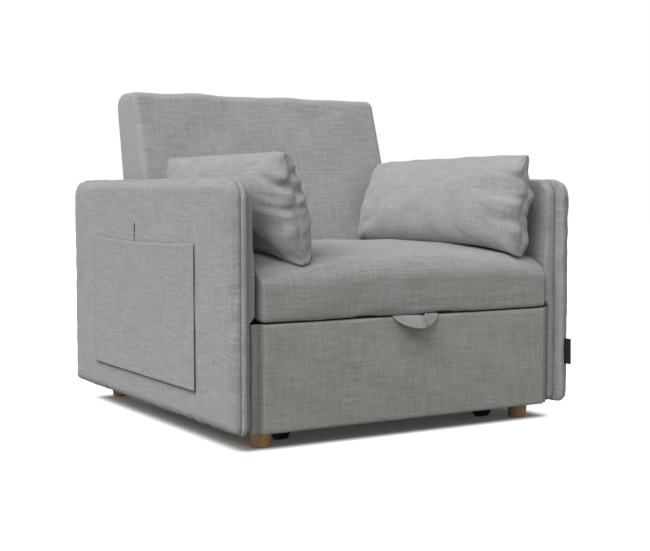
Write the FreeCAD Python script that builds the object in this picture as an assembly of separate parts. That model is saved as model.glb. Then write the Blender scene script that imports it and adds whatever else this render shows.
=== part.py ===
import FreeCAD, Part
import math
import os

Vector = FreeCAD.Vector

# Convertible chair bed, in millimetres.
# Origin on the floor, midway between the arms and midway from front to rear.
# +X points right in a front view, +Y to the rear and +Z up.
# Left and right in the names are as seen from the front.

# Overall sizes
OVERALL_WIDTH = 980.0
OVERALL_DEPTH = 1000.0
ARM_TOP_Z = 605.0
BACK_TOP_Z = 842.0
SEAT_EDGE_Z = 424.0
SEAT_CROWN_Z = 442.0

# Clearances
SEAT_GAP = 0.3
SLIDE_GAP = 0.5
PLATE_GAP = 2.0
PIN_CLEARANCE = 0.05
CUT_PAST = 1.0

# Arms: outer pad, welt band and inner pad side by side
ARM_OUTER_PAD = 32.0
ARM_BAND = 13.0
ARM_INNER_PAD = 19.0
ARM_FOOT_Z = 42.0
ARM_TOP_RADIUS = 46.0
ARM_FOOT_RADIUS = 16.0
ARM_OUTER_ROLL = 24.0
ARM_INNER_ROLL = 14.0
BAND_PROUD = 2.0
BAND_ROLL = 4.0
ARM_CORE_EDGE = 22.0
ARM_BOLT_RADIUS = 4.0
ARM_BOLT_HEAD_RADIUS = 9.0
ARM_BOLT_HEAD = 4.0
ARM_BOLT_Z = 118.0
ARM_BOLT_PLACES = (-330.0, 30.0, 390.0)
ARM_CORE_CORNER = 11.0

# Drawer front
DRAWER_RECESS = 22.0
DRAWER_FRONT_PAD = 24.0
DRAWER_FRONT_BOARD = 18.0
DRAWER_FRONT_FOOT_Z = 40.0
DRAWER_FRONT_TOP_Z = 283.0
DRAWER_SIDE_GAP = 4.0
FLANGE_WIDTH = 9.0
FLANGE_GROOVE = 2.0
FLANGE_GROOVE_DEPTH = 5.0
DRAWER_EDGE_ROLL = 4.0
DRAWER_BOARD_SET_IN = 10.0
DRAWER_BOARD_SHORT = 4.0

# Seat and backrest
SEAT_UNDERSIDE_Z = 291.0
SEAT_ARM_GAP = 8.0
SEAT_BACK_GAP = 11.0
SEAT_FRONT_ROLL = 58.0
SEAT_FOOT_ROLL = 8.0
SEAT_REAR_ROLL = 18.0
SEAT_REAR_DROP = 8.0
SEAT_CREST_BEHIND_FRONT = 330.0
SEAT_CREST_RADIUS = 2200.0
BACK_ARM_GAP = 42.0
BACK_FRONT_LEAN = 18.0
BACK_REAR_LEAN = 10.5
BACK_FRONT_TOP_Y = 290.0
BACK_FOOT_Z = 302.0
BACK_TOP_THICKNESS = 128.0
BACK_BULGE = 10.0
BACK_BULGE_RADIUS = 900.0
BACK_FOOT_FRONT_ROLL = 30.0
BACK_FOOT_REAR_ROLL = 24.0
BACK_TOP_REAR_ROLL = 40.0
BACK_TOP_FRONT_ROLL = 26.0
BACK_BOARD_FOOT = 26.0
BACK_BOARD_TOP = 60.0
BACK_BOARD_THICK = 18.0
BACK_BOARD_MARGIN = 26.0
BACK_BOARD_SHOULDER = 215.0
BACK_BOARD_EDGE = 2.0
BACK_PANEL_THICK = 5.0
BACK_PANEL_SET_IN = 1.5
BACK_PANEL_MARGIN = 2.0
BACK_CUT_BEHIND = 40.0

# Rows of the soft forms: distance in from the side, how far the outline draws in there, and the swell
SEAT_SIDE_ROWS = ((0.0, 8.0, 4.0), (6.0, 3.0, 5.0), (26.0, 0.0, 7.0))
BACK_SIDE_ROWS = ((0.0, 9.0, 0.5), (6.4, 2.5, 1.5), (25.6, 0.0, 3.0))
BED_SIDE_ROWS = ((0.0, 7.0, 2.0), (14.0, 0.0, 4.0))
# Swell halfway to the side and in the middle
SEAT_SWELL = (11.0, 12.0)
BACK_SWELL = (8.0, BACK_BULGE)
BED_SWELL = (8.0, 9.0)

# Base frame
BASE_FLOOR_Z = 42.0
BASE_BOARD = 22.0
BASE_FLANGE_WIDTH = 82.0
BASE_FLANGE = 24.0
BASE_REAR_TOP_Z = 196.0
BASE_STEP_Y = 325.0
BASE_FRONT_Y = -430.0
BASE_REAR_Y = 470.0
BASE_CORNER = 6.0
BASE_FRONT_CORNER = 12.0
BASE_STEP_RUN = 60.0
BASE_STEP_TOP_RADIUS = 24.0
BASE_STEP_FOOT_RADIUS = 40.0
CROSS_RAIL_LIFT = 4.0
REAR_RAIL_DROP = 24.0
CROSS_RAIL = 22.0
LEDGER_WIDTH = 40.0
LEDGER_HEIGHT = 24.0
LEDGER_REAR_Y = 84.0

# Seat slats
SLAT_COUNT = 8
SLAT_WIDTH = 38.0
SLAT_THICKNESS = 8.0
SLAT_RISE = 14.0
SLAT_FRONT_Y = -402.0
SLAT_REAR_Y = 62.0
SLAT_END_GAP = 6.0

# Drawer box and runners
DRAWER_BOARD = 14.0
DRAWER_FLOOR_Z = 72.0
DRAWER_SIDE_TOP_Z = 232.0
DRAWER_DEPTH = 690.0
RUNNER_CHANNEL_DEPTH = 12.0
RUNNER_HEIGHT = 32.0
RUNNER_Z = 150.0
RUNNER_WALL = 2.0
RUNNER_CHANNEL_LENGTH = 590.0
RUNNER_BAR_LENGTH = 666.0
RUNNER_BEHIND_RAIL = 14.0
DRAWER_SIDE_CORNER = 22.0
DRAWER_CORNER = 1.0
DRAWER_REAR_DROP = 30.0

# Wheels and feet
WHEEL_RADIUS = 24.0
WHEEL_WIDTH = 26.0
WHEEL_X = 294.0
WHEEL_BEHIND_FRONT = 121.0
AXLE_RADIUS = 4.0
AXLE_END = 2.0
FORK_WALL = 3.0
FORK_GAP = 1.5
FORK_NOSE = 10.0
FORK_NOSE_RADIUS = 9.0
FORK_HALF_DEPTH = 26.0
FOOT_RADIUS = 25.5
FOOT_TIP_RADIUS = 22.0
FOOT_IN_FROM_RAIL = 54.7
FOOT_BEHIND_FRONT = 71.0
REAR_FOOT_Y = 428.0
FOOT_EDGE = 2.5
FOOT_FLATS = 36

# Recline hinge
HINGE_Y = 245.0
HINGE_Z = 300.0
HINGE_PLATE = 4.0
HINGE_PLATE_LIFT = 6.0
HINGE_PLATE_HALF = 60.0
HINGE_PLATE_DROP = 20.0
HINGE_PLATE_FOOT_RADIUS = 8.0
HINGE_PLATE_WAIST_RADIUS = 20.0
HINGE_EAR = 26.0
HINGE_EAR_RADIUS = 24.0
HINGE_PIN_RADIUS = 6.0
RATCHET_TEETH = 40
RATCHET_TOOTH = 3.6
RATCHET_TIP_RADIUS = 38.0
HINGE_ARM_HALF_WIDTH = 18.0
HINGE_ARM_FOOT_Y = 12.0
HINGE_ARM_FOOT_Z = 14.0
HINGE_ARM_HEIGHT = 190.0
HINGE_ARM_LEVEL = 120.0
HINGE_ARM_SET_IN = 5.0
PAWL_PIN_RADIUS = 4.0
PAWL_DROP = 62.0
PAWL_SWING = 7.0
PAWL_LENGTH = 30.0
PAWL_BOSS = 5.0
PAWL_NOSE_GAP = 0.8
PAWL_NOSE_SPREAD = 2.2
PAWL_NOSE_FLAT = 1.4
PAWL_NOSE_SHOULDER = 1.5
PAWL_NOSE_SHANK = 9.0
PAWL_LEVER_HALF_WIDTH = 6.0
PAWL_LEVER_SHIFT = 2.0
PAWL_LEVER_DROP = 8.0

# Pull-out bed cushion and its lift
BED_CUSHION_WIDTH = 700.0
BED_CUSHION_DEPTH = 500.0
BED_CUSHION_THICK = 96.0
BED_BOARD = 12.0
LIFT_LINK_LENGTH = 190.0
LIFT_LINK_WIDTH = 22.0
LIFT_LINK_THICK = 4.0
LIFT_PIN_RADIUS = 4.0
LIFT_LOW_Z = 98.0
LIFT_RISE_REST = 12.0
LIFT_BOARD_GAP = 1.0
LIFT_SIDE_GAP = 6.0
LIFT_FRONT_PIN = 60.0
LIFT_REAR_PIN = 40.0
LIFT_PIN_END = 3.0
LIFT_PIN_START = 2.0
LIFT_RAIL_HEIGHT = 24.0
LIFT_RAIL_FRONT = 40.0
LIFT_RAIL_REAR = 10.0
BED_BEHIND_FRONT = 24.0
BED_FOOT_ROLL = 10.0
BED_TOP_ROLL = 22.0
BED_CROWN_RADIUS = 1600.0

# Pull loop
LOOP_SPAN = 132.0
LOOP_STRAP = 38.0
LOOP_THICK = 3.0
LOOP_REACH = 34.0
LOOP_HEIGHT = 26.0
LOOP_TAIL = 30.0
LOOP_JOIN = 4.5

# Side pockets and side tab
POCKET_FRONT_INSET = 184.0
POCKET_LENGTH = 620.0
POCKET_FOOT_Z = 121.0
POCKET_TOP_Z = 458.0
POCKET_CLOTH = 1.6
POCKET_DEPTH = 5.0
POCKET_HEM = 3.2
POCKET_EDGE_ROLL = 1.44
SMALL_POCKET_LENGTH = 140.0
SMALL_POCKET_START = 532.0
SMALL_POCKET_TOP_Z = 498.0
SMALL_POCKET_FOOT_Z = 330.0
TAB_HEIGHT = 50.0
TAB_LENGTH = 24.0
TAB_THICK = 1.6
TAB_Z = 205.0

# Loose pillows
PILLOW_LENGTH = 620.0
PILLOW_HEIGHT = 246.0
PILLOW_THICK = 140.0
PILLOW_EDGE = 8.0
PILLOW_DIP = 1.5
PILLOW_STATIONS = (-1.0, -0.93, -0.75, -0.4, 0.0, 0.4, 0.75, 0.93, 1.0)
PILLOW_END_POWER = 3.0
PILLOW_WAIST = 0.955
PILLOW_BELLY = 0.46
PILLOW_SIDE_POINTS = 8
# Name, lean sideways, turn about the vertical, and the place of the lower seam's middle
PILLOW_PLACES = (
    ("left", -9.0, 0.5, Vector(-300.0, -158.0, 436.3)),
    ("right", 13.0, 5.0, Vector(298.0, -158.0, 436.6)),
)

# Places worked out from the sizes above
HALF_WIDTH = OVERALL_WIDTH / 2
HALF_DEPTH = OVERALL_DEPTH / 2
ARM_THICK = ARM_OUTER_PAD + ARM_BAND + ARM_INNER_PAD
ARM_INNER_X = HALF_WIDTH - ARM_THICK
BAND_INNER_X = ARM_INNER_X + ARM_INNER_PAD
BAND_OUTER_X = BAND_INNER_X + ARM_BAND
ARM_FRONT_Y = -HALF_DEPTH
ARM_REAR_Y = HALF_DEPTH
DRAWER_FRONT_Y = ARM_FRONT_Y + DRAWER_RECESS
DRAWER_FRONT_X = ARM_INNER_X - DRAWER_SIDE_GAP
DRAWER_PAD_REAR_Y = DRAWER_FRONT_Y + DRAWER_FRONT_PAD
DRAWER_BOARD_REAR_Y = DRAWER_PAD_REAR_Y + DRAWER_FRONT_BOARD
BASE_OUTER_X = ARM_INNER_X - SEAT_GAP
BASE_SIDE_TOP_Z = SEAT_UNDERSIDE_Z - SEAT_GAP - SLAT_THICKNESS - SLAT_RISE
BASE_INNER_X = BASE_OUTER_X - BASE_BOARD
FOOT_X = BASE_OUTER_X - FOOT_IN_FROM_RAIL
SEAT_X = ARM_INNER_X - SEAT_ARM_GAP
BACK_X = ARM_INNER_X - BACK_ARM_GAP
RUNNER_OUTER_X = BASE_INNER_X
DRAWER_SIDE_X = RUNNER_OUTER_X - RUNNER_CHANNEL_DEPTH - RUNNER_WALL
LEAN = math.radians(BACK_FRONT_LEAN)
REAR_LEAN = math.radians(BACK_REAR_LEAN)
TOUCH = 0.01


def box(x0, x1, y0, y1, z0, z1):
    """Block between two corners, given in any order."""
    low = Vector(min(x0, x1), min(y0, y1), min(z0, z1))
    return Part.makeBox(abs(x1 - x0), abs(y1 - y0), abs(z1 - z0), low)


def rod_x(x0, x1, y, z, radius):
    """Round bar along X."""
    start = Vector(min(x0, x1), y, z)
    return Part.makeCylinder(radius, abs(x1 - x0), start, Vector(1, 0, 0))


def outline(points, place):
    """Closed wire of straight runs with a tangent arc at each corner.

    points holds (u, v, radius) for each corner, and place turns (u, v) into a point in space."""
    count = len(points)
    runs = []
    for index in range(count):
        u, v, radius = points[index]
        before = points[index - 1]
        after = points[(index + 1) % count]
        into = Vector(before[0] - u, before[1] - v, 0)
        out = Vector(after[0] - u, after[1] - v, 0)
        into.normalize()
        out.normalize()
        half_turn = into.getAngle(out) / 2
        trim = radius / math.tan(half_turn)
        middle = into + out
        middle.normalize()
        reach = radius / math.sin(half_turn) - radius
        corner = Vector(u, v, 0)
        runs.append((corner + into * trim, corner + middle * reach, corner + out * trim))
    edges = []
    for index in range(count):
        start, mid, end = [place(point.x, point.y) for point in runs[index]]
        following = place(runs[(index + 1) % count][0].x, runs[(index + 1) % count][0].y)
        edges.append(Part.Arc(start, mid, end).toShape())
        edges.append(Part.LineSegment(end, following).toShape())
    return Part.Wire(edges)


def flat_loft(rings):
    """Solid through closed rings of points, with every side patch folded into two flats."""
    faces = [Part.Face(Part.makePolygon(ring + ring[:1])) for ring in (rings[0], rings[-1])]
    for low, high in zip(rings, rings[1:]):
        for index in range(len(low)):
            a, b, c, d = low[index - 1], low[index], high[index], high[index - 1]
            faces.append(Part.Face(Part.makePolygon([a, b, c, a])))
            faces.append(Part.Face(Part.makePolygon([a, c, d, a])))
    shell = Part.makeShell(faces)
    shell.sewShape()
    solid = Part.makeSolid(shell)
    if solid.Volume < 0:
        solid.reverse()
    return solid


def on_x(x):
    """Plane at a given X, with u along Y and v along Z."""
    return lambda u, v: Vector(x, u, v)


def slab_x(points, x0, x1):
    """Plate between two X planes with the outline given in Y and Z."""
    face = Part.Face(outline(points, on_x(x0)))
    return face.extrude(Vector(x1 - x0, 0, 0))


def soften(shape, radius, picks):
    """Round the edges for which picks(edge) holds."""
    edges = [edge for edge in shape.Edges if picks(edge)]
    return shape.makeFillet(radius, edges)


def bevel(shape, width, picks):
    """Cut back the edges for which picks(edge) holds, at an even angle."""
    edges = [edge for edge in shape.Edges if picks(edge)]
    return shape.makeChamfer(width, edges)


def in_plane_x(x):
    """Pick the edges that lie wholly in the plane at X."""
    return lambda edge: abs(edge.BoundBox.XMin - x) < TOUCH and abs(edge.BoundBox.XMax - x) < TOUCH


def save(name, shape):
    """Write one node."""
    shape.exportStep("parts/" + name + ".step")


def arm_outline(proud):
    """Side view of an arm, with its upper corners well rounded."""
    return [
        (ARM_FRONT_Y - proud, ARM_FOOT_Z - proud, ARM_FOOT_RADIUS),
        (ARM_FRONT_Y - proud, ARM_TOP_Z + proud, ARM_TOP_RADIUS),
        (ARM_REAR_Y + proud, ARM_TOP_Z + proud, ARM_TOP_RADIUS),
        (ARM_REAR_Y + proud, ARM_FOOT_Z - proud, ARM_FOOT_RADIUS),
    ]


def arm_pad(side, near_x, far_x, roll):
    """Upholstered panel of an arm, rolled over round its outward face."""
    pad = slab_x(arm_outline(-BAND_PROUD), side * near_x, side * far_x)
    return soften(pad, roll, in_plane_x(side * far_x))


def arm_core_outline():
    """Side view of the plywood panel inside an arm's band."""
    points = []
    for y, z, radius in arm_outline(-BAND_PROUD - ARM_CORE_EDGE):
        points.append((y, z, max(radius - ARM_CORE_EDGE, ARM_CORE_CORNER)))
    return points


def arm_band(side):
    """Padded welt band that runs right round the arm between its two pads."""
    band = slab_x(arm_outline(0), side * BAND_INNER_X, side * BAND_OUTER_X)
    for x in (BAND_INNER_X, BAND_OUTER_X):
        band = bevel(band, BAND_ROLL, in_plane_x(side * x))
    hollow = slab_x(arm_core_outline(), side * (BAND_INNER_X - CUT_PAST), side * (BAND_OUTER_X + CUT_PAST))
    return band.cut(hollow)


def make_arm(side, name):
    """One arm: core, band and two pads."""
    core_in = side * BAND_INNER_X
    core_out = side * BAND_OUTER_X
    holes = bolt_shanks(side, ARM_BOLT_RADIUS + PIN_CLEARANCE)
    save(name + "_arm_core", slab_x(arm_core_outline(), core_in, core_out).cut(holes))
    save(name + "_arm_band", arm_band(side))
    outer = arm_pad(side, BAND_OUTER_X, HALF_WIDTH, ARM_OUTER_ROLL)
    inner = arm_pad(side, BAND_INNER_X, ARM_INNER_X, ARM_INNER_ROLL).cut(holes)
    save(name + "_arm_outer_pad", outer)
    save(name + "_arm_inner_pad", inner)


def make_pockets():
    """Cloth pockets on the left arm: a wide one with a small one behind it."""
    face_x = -HALF_WIDTH
    front_y = ARM_FRONT_Y + POCKET_FRONT_INSET
    rear_y = front_y + POCKET_LENGTH
    outer_x = face_x - POCKET_DEPTH - POCKET_CLOTH
    shell = box(face_x, outer_x, front_y, rear_y, POCKET_FOOT_Z, POCKET_TOP_Z)
    room = box(
        face_x,
        face_x - POCKET_DEPTH,
        front_y + POCKET_HEM,
        rear_y - POCKET_HEM,
        POCKET_FOOT_Z + POCKET_HEM,
        POCKET_TOP_Z + CUT_PAST,
    )
    rim = lambda edge: in_plane_x(outer_x)(edge) and edge.BoundBox.ZMin < POCKET_TOP_Z - CUT_PAST
    save("side_pocket", soften(shell.cut(room), POCKET_EDGE_ROLL, rim))
    small = box(
        face_x,
        face_x - POCKET_CLOTH,
        ARM_FRONT_Y + SMALL_POCKET_START,
        ARM_FRONT_Y + SMALL_POCKET_START + SMALL_POCKET_LENGTH,
        SMALL_POCKET_FOOT_Z,
        SMALL_POCKET_TOP_Z,
    )
    save("small_pocket", small)


def make_tab():
    """Bare cloth tab sewn into the seam beside the right arm's band."""
    tab = box(
        BAND_OUTER_X + SEAT_GAP,
        BAND_OUTER_X + SEAT_GAP + TAB_THICK,
        ARM_FRONT_Y + BAND_PROUD,
        ARM_FRONT_Y - TAB_LENGTH / 2,
        TAB_Z,
        TAB_Z + TAB_HEIGHT,
    )
    save("side_tab", tab)


def back_line(z):
    """Y of the backrest's front face at a height."""
    return BACK_FRONT_TOP_Y - (BACK_TOP_Z - z) * math.tan(LEAN)


def rear_line(z):
    """Y of the backrest's rear face at a height."""
    return BACK_FRONT_TOP_Y + BACK_TOP_THICKNESS - (BACK_TOP_Z - z) * math.tan(REAR_LEAN)


def backrest_section(inset, bulge):
    """Wedge seen from the side: thick at the foot, with a gentle belly on its front face."""
    middle_z = (BACK_TOP_Z + BACK_FOOT_Z) / 2
    foot_z = BACK_FOOT_Z + inset
    top_z = BACK_TOP_Z - inset
    return [
        (back_line(foot_z) + inset, foot_z, BACK_FOOT_FRONT_ROLL),
        (rear_line(foot_z) - inset, foot_z, BACK_FOOT_REAR_ROLL),
        (rear_line(top_z) - inset, top_z, BACK_TOP_REAR_ROLL),
        (back_line(top_z) + inset, top_z, BACK_TOP_FRONT_ROLL),
        (back_line(middle_z) - bulge + inset, middle_z, BACK_BULGE_RADIUS),
    ]


def soft_loft(half_width, side_rows, swell, section):
    """Closed soft form from side to side: the side rows, a section halfway in and one in the middle."""
    right = [(0.0, 0.0, swell[1]), (half_width / 2, 0.0, swell[0])]
    for set_in, inset, rise in reversed(side_rows):
        right.append((half_width - set_in, inset, rise))
    left = [(-x, inset, rise) for x, inset, rise in reversed(right[1:])]
    wires = [outline(section(inset, rise), on_x(x)) for x, inset, rise in left + right]
    return Part.makeLoft(wires, True, True)


def back_slab(front, rear, half_width, foot_z, top_z):
    """Board parallel to the backrest's rear face, front and rear being its depths in from that face."""
    points = [
        (rear_line(foot_z) - front, foot_z, BACK_BOARD_EDGE),
        (rear_line(foot_z) - rear, foot_z, BACK_BOARD_EDGE),
        (rear_line(top_z) - rear, top_z, BACK_BOARD_EDGE),
        (rear_line(top_z) - front, top_z, BACK_BOARD_EDGE),
    ]
    return slab_x(points, -half_width, half_width)


def make_backrest():
    """Backrest pad, the board inside it and the panel that closes its rear."""
    pad = soft_loft(BACK_X, BACK_SIDE_ROWS, BACK_SWELL, backrest_section)
    foot_z = BACK_FOOT_Z + BACK_BOARD_FOOT
    top_z = BACK_TOP_Z - BACK_BOARD_TOP
    shoulder_z = foot_z + BACK_BOARD_SHOULDER
    upper_x = BACK_X - BACK_BOARD_MARGIN
    panel_front = BACK_PANEL_SET_IN + BACK_PANEL_THICK
    board_front = panel_front + BACK_BOARD_THICK
    recess = back_slab(board_front, -BACK_CUT_BEHIND, upper_x, foot_z, top_z)
    lower_recess = back_slab(board_front, -BACK_CUT_BEHIND, BACK_X + CUT_PAST, foot_z, shoulder_z)
    save("backrest_pad", pad.cut(recess).cut(lower_recess))
    board = back_slab(board_front, panel_front, upper_x, foot_z, top_z)
    lower_board = back_slab(board_front, panel_front, BACK_X, foot_z, shoulder_z)
    save("backrest_board", board.fuse(lower_board).removeSplitter())
    panel = back_slab(panel_front, BACK_PANEL_SET_IN, upper_x, foot_z, top_z)
    lower_panel = back_slab(panel_front, BACK_PANEL_SET_IN, BACK_X - BACK_PANEL_MARGIN, foot_z, shoulder_z)
    save("backrest_rear_panel", panel.fuse(lower_panel).removeSplitter())


def seat_section(inset, crown):
    """Seat cushion seen from the side: rolled front edge, crowned top, rear cut to the backrest's lean."""
    foot_z = SEAT_UNDERSIDE_Z
    edge_z = SEAT_EDGE_Z - inset
    rear_z = SEAT_CROWN_Z - SEAT_REAR_DROP - inset
    crest_y = DRAWER_FRONT_Y + SEAT_CREST_BEHIND_FRONT
    return [
        (DRAWER_FRONT_Y + inset, foot_z, SEAT_FOOT_ROLL),
        (back_line(foot_z) - SEAT_BACK_GAP - inset, foot_z, SEAT_FOOT_ROLL),
        (back_line(rear_z) - SEAT_BACK_GAP - inset, rear_z, SEAT_REAR_ROLL),
        (crest_y, rear_z + crown, SEAT_CREST_RADIUS),
        (DRAWER_FRONT_Y + inset, edge_z, SEAT_FRONT_ROLL),
    ]


def make_seat():
    """Fixed seat cushion."""
    save("seat_cushion", soft_loft(SEAT_X, SEAT_SIDE_ROWS, SEAT_SWELL, seat_section))


def make_base_rail(side, name):
    """Side rail of the base: an upright board stepped down behind, on a flange that carries the feet."""
    board = slab_x(
        [
            (BASE_FRONT_Y, BASE_FLOOR_Z, BASE_CORNER),
            (BASE_REAR_Y, BASE_FLOOR_Z, BASE_CORNER),
            (BASE_REAR_Y, BASE_REAR_TOP_Z, BASE_STEP_TOP_RADIUS),
            (BASE_STEP_Y + BASE_STEP_RUN, BASE_REAR_TOP_Z, BASE_STEP_FOOT_RADIUS),
            (BASE_STEP_Y, BASE_SIDE_TOP_Z, BASE_STEP_TOP_RADIUS),
            (BASE_FRONT_Y, BASE_SIDE_TOP_Z, BASE_FRONT_CORNER),
        ],
        side * BASE_OUTER_X,
        side * BASE_INNER_X,
    )
    flange = box(
        side * BASE_INNER_X,
        side * (BASE_OUTER_X - BASE_FLANGE_WIDTH),
        BASE_FRONT_Y + BASE_CORNER,
        BASE_REAR_Y - BASE_CORNER,
        BASE_FLOOR_Z,
        BASE_FLOOR_Z + BASE_FLANGE,
    )
    rail = board.fuse(flange).removeSplitter()
    save(name + "_base_rail", rail.cut(bolt_shanks(side, ARM_BOLT_RADIUS + PIN_CLEARANCE)))
    ledger = box(
        side * BASE_INNER_X,
        side * (BASE_INNER_X - LEDGER_WIDTH),
        BASE_FRONT_Y + CROSS_RAIL,
        LEDGER_REAR_Y,
        BASE_SIDE_TOP_Z - LEDGER_HEIGHT,
        BASE_SIDE_TOP_Z,
    )
    save(name + "_slat_ledger", ledger)


def make_cross_rails():
    """Cross rails that tie the two side rails together at the front, above the drawer, and at the rear."""
    front = box(
        -BASE_INNER_X,
        BASE_INNER_X,
        BASE_FRONT_Y,
        BASE_FRONT_Y + CROSS_RAIL,
        DRAWER_SIDE_TOP_Z + CROSS_RAIL_LIFT,
        BASE_SIDE_TOP_Z,
    )
    save("front_cross_rail", front)
    rear = box(
        -BASE_INNER_X,
        BASE_INNER_X,
        BASE_REAR_Y - BASE_CORNER - CROSS_RAIL,
        BASE_REAR_Y - BASE_CORNER,
        BASE_FLOOR_Z + BASE_FLANGE,
        BASE_REAR_TOP_Z - REAR_RAIL_DROP,
    )
    save("rear_cross_rail", rear)


def make_slats():
    """Bowed slats that spring the seat, resting on the two ledgers."""
    half_span = BASE_INNER_X - SLAT_END_GAP
    pitch = (SLAT_REAR_Y - SLAT_FRONT_Y) / (SLAT_COUNT - 1)
    low = BASE_SIDE_TOP_Z
    slats = []
    for index in range(SLAT_COUNT):
        y = SLAT_FRONT_Y + index * pitch - SLAT_WIDTH / 2
        low_left, low_right = Vector(-half_span, y, low), Vector(half_span, y, low)
        top_left, top_right = [point + Vector(0, 0, SLAT_THICKNESS) for point in (low_left, low_right)]
        lower = Part.Arc(low_left, Vector(0, y, low + SLAT_RISE), low_right)
        upper = Part.Arc(top_right, Vector(0, y, low + SLAT_RISE + SLAT_THICKNESS), top_left)
        right_end = Part.LineSegment(low_right, top_right)
        left_end = Part.LineSegment(top_left, low_left)
        wire = Part.Wire([line.toShape() for line in (lower, right_end, upper, left_end)])
        slats.append(Part.Face(wire).extrude(Vector(0, SLAT_WIDTH, 0)))
    save("seat_slats", Part.makeCompound(slats))


def make_foot(name, x, y):
    """Turned wooden foot, slightly tapered, with its rims cut back, its round kept to narrow flats."""
    profile = [
        (FOOT_TIP_RADIUS - FOOT_EDGE, 0.0),
        (FOOT_TIP_RADIUS, FOOT_EDGE),
        (FOOT_RADIUS, BASE_FLOOR_Z - FOOT_EDGE),
        (FOOT_RADIUS - FOOT_EDGE, BASE_FLOOR_Z),
    ]
    rings = []
    for radius, z in profile:
        rings.append(Part.Circle(Vector(x, y, z), Vector(0, 0, 1), radius).discretize(FOOT_FLATS + 1)[:-1])
    save(name, flat_loft(rings))


def make_feet():
    """Four feet, one near each end of the base rails."""
    for side, side_name in ((-1, "left"), (1, "right")):
        make_foot("front_" + side_name + "_foot", side * FOOT_X, DRAWER_FRONT_Y + FOOT_BEHIND_FRONT)
        make_foot("rear_" + side_name + "_foot", side * FOOT_X, REAR_FOOT_Y)


def bolt_shanks(side, radius):
    """Bars on the axes of the bolts that go through a base rail and the inner pad into the arm's core."""
    near = side * BASE_INNER_X
    far = side * BAND_OUTER_X
    return [rod_x(near, far, y, ARM_BOLT_Z, radius) for y in ARM_BOLT_PLACES]


def make_arm_bolts():
    """Bolts that hold each arm to its base rail, with their round heads inside the rail."""
    bolts = []
    for side in (-1, 1):
        head_end = side * (BASE_INNER_X - ARM_BOLT_HEAD)
        for shank, y in zip(bolt_shanks(side, ARM_BOLT_RADIUS), ARM_BOLT_PLACES):
            head = rod_x(side * BASE_INNER_X, head_end, y, ARM_BOLT_Z, ARM_BOLT_HEAD_RADIUS)
            bolts.append(shank.fuse(head).removeSplitter())
    save("arm_bolts", Part.makeCompound(bolts))


def make_drawer_front():
    """Upholstered drawer front over its board, with a sewn flange down each side edge."""
    cover = box(
        -DRAWER_FRONT_X,
        DRAWER_FRONT_X,
        DRAWER_FRONT_Y,
        DRAWER_PAD_REAR_Y,
        DRAWER_FRONT_FOOT_Z,
        DRAWER_FRONT_TOP_Z,
    )
    front_rim = lambda edge: edge.BoundBox.YMax < DRAWER_FRONT_Y + TOUCH
    cover = soften(cover, DRAWER_EDGE_ROLL, front_rim)
    for side in (-1, 1):
        groove_x = side * (DRAWER_FRONT_X - FLANGE_WIDTH)
        groove = box(
            groove_x,
            groove_x - side * FLANGE_GROOVE,
            DRAWER_FRONT_Y - CUT_PAST,
            DRAWER_FRONT_Y + FLANGE_GROOVE_DEPTH,
            DRAWER_FRONT_FOOT_Z - CUT_PAST,
            DRAWER_FRONT_TOP_Z + CUT_PAST,
        )
        cover = cover.cut(groove)
    save("drawer_front_cover", cover)
    board = box(
        -DRAWER_FRONT_X + DRAWER_BOARD_SET_IN,
        DRAWER_FRONT_X - DRAWER_BOARD_SET_IN,
        DRAWER_PAD_REAR_Y,
        DRAWER_BOARD_REAR_Y,
        DRAWER_FRONT_FOOT_Z + DRAWER_BOARD_SHORT,
        DRAWER_FRONT_TOP_Z - DRAWER_BOARD_SHORT,
    )
    save("drawer_front_board", board)


def make_drawer_box():
    """Drawer sides, rear and base behind the front board."""
    front_y = DRAWER_BOARD_REAR_Y
    rear_y = front_y + DRAWER_DEPTH
    floor_top = DRAWER_FLOOR_Z + DRAWER_BOARD
    inner_x = DRAWER_SIDE_X - DRAWER_BOARD
    for side, name in ((-1, "left"), (1, "right")):
        panel = slab_x(
            [
                (front_y, DRAWER_FLOOR_Z, DRAWER_CORNER),
                (rear_y, DRAWER_FLOOR_Z, DRAWER_CORNER),
                (rear_y, DRAWER_SIDE_TOP_Z, DRAWER_SIDE_CORNER),
                (front_y, DRAWER_SIDE_TOP_Z, DRAWER_CORNER),
            ],
            side * inner_x,
            side * DRAWER_SIDE_X,
        )
        save("drawer_" + name + "_side", panel)
    panel_y = rear_y - DRAWER_BOARD
    rear_top = DRAWER_SIDE_TOP_Z - DRAWER_REAR_DROP
    save("drawer_base", box(-inner_x, inner_x, front_y, panel_y, DRAWER_FLOOR_Z, floor_top))
    save("drawer_rear", box(-inner_x, inner_x, panel_y, rear_y, DRAWER_FLOOR_Z, rear_top))


def make_runners():
    """Fixed steel channels on the base rails and the bars on the drawer that slide in them."""
    front_y = BASE_FRONT_Y + RUNNER_BEHIND_RAIL
    channel_rear_y = front_y + RUNNER_CHANNEL_LENGTH
    top_z = RUNNER_Z + RUNNER_HEIGHT
    for side, name in ((-1, "left"), (1, "right")):
        inner = side * (RUNNER_OUTER_X - RUNNER_CHANNEL_DEPTH)
        channel = box(side * RUNNER_OUTER_X, inner, front_y, channel_rear_y, RUNNER_Z, top_z)
        groove = box(
            side * (RUNNER_OUTER_X - RUNNER_WALL),
            inner - side * CUT_PAST,
            front_y - CUT_PAST,
            channel_rear_y + CUT_PAST,
            RUNNER_Z + RUNNER_WALL,
            top_z - RUNNER_WALL,
        )
        save(name + "_runner_channel", channel.cut(groove))
        bar = box(
            side * DRAWER_SIDE_X,
            side * (RUNNER_OUTER_X - RUNNER_WALL - SLIDE_GAP),
            front_y,
            front_y + RUNNER_BAR_LENGTH,
            RUNNER_Z + RUNNER_WALL + SLIDE_GAP,
            top_z - RUNNER_WALL - SLIDE_GAP,
        )
        save(name + "_runner_bar", bar)


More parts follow.
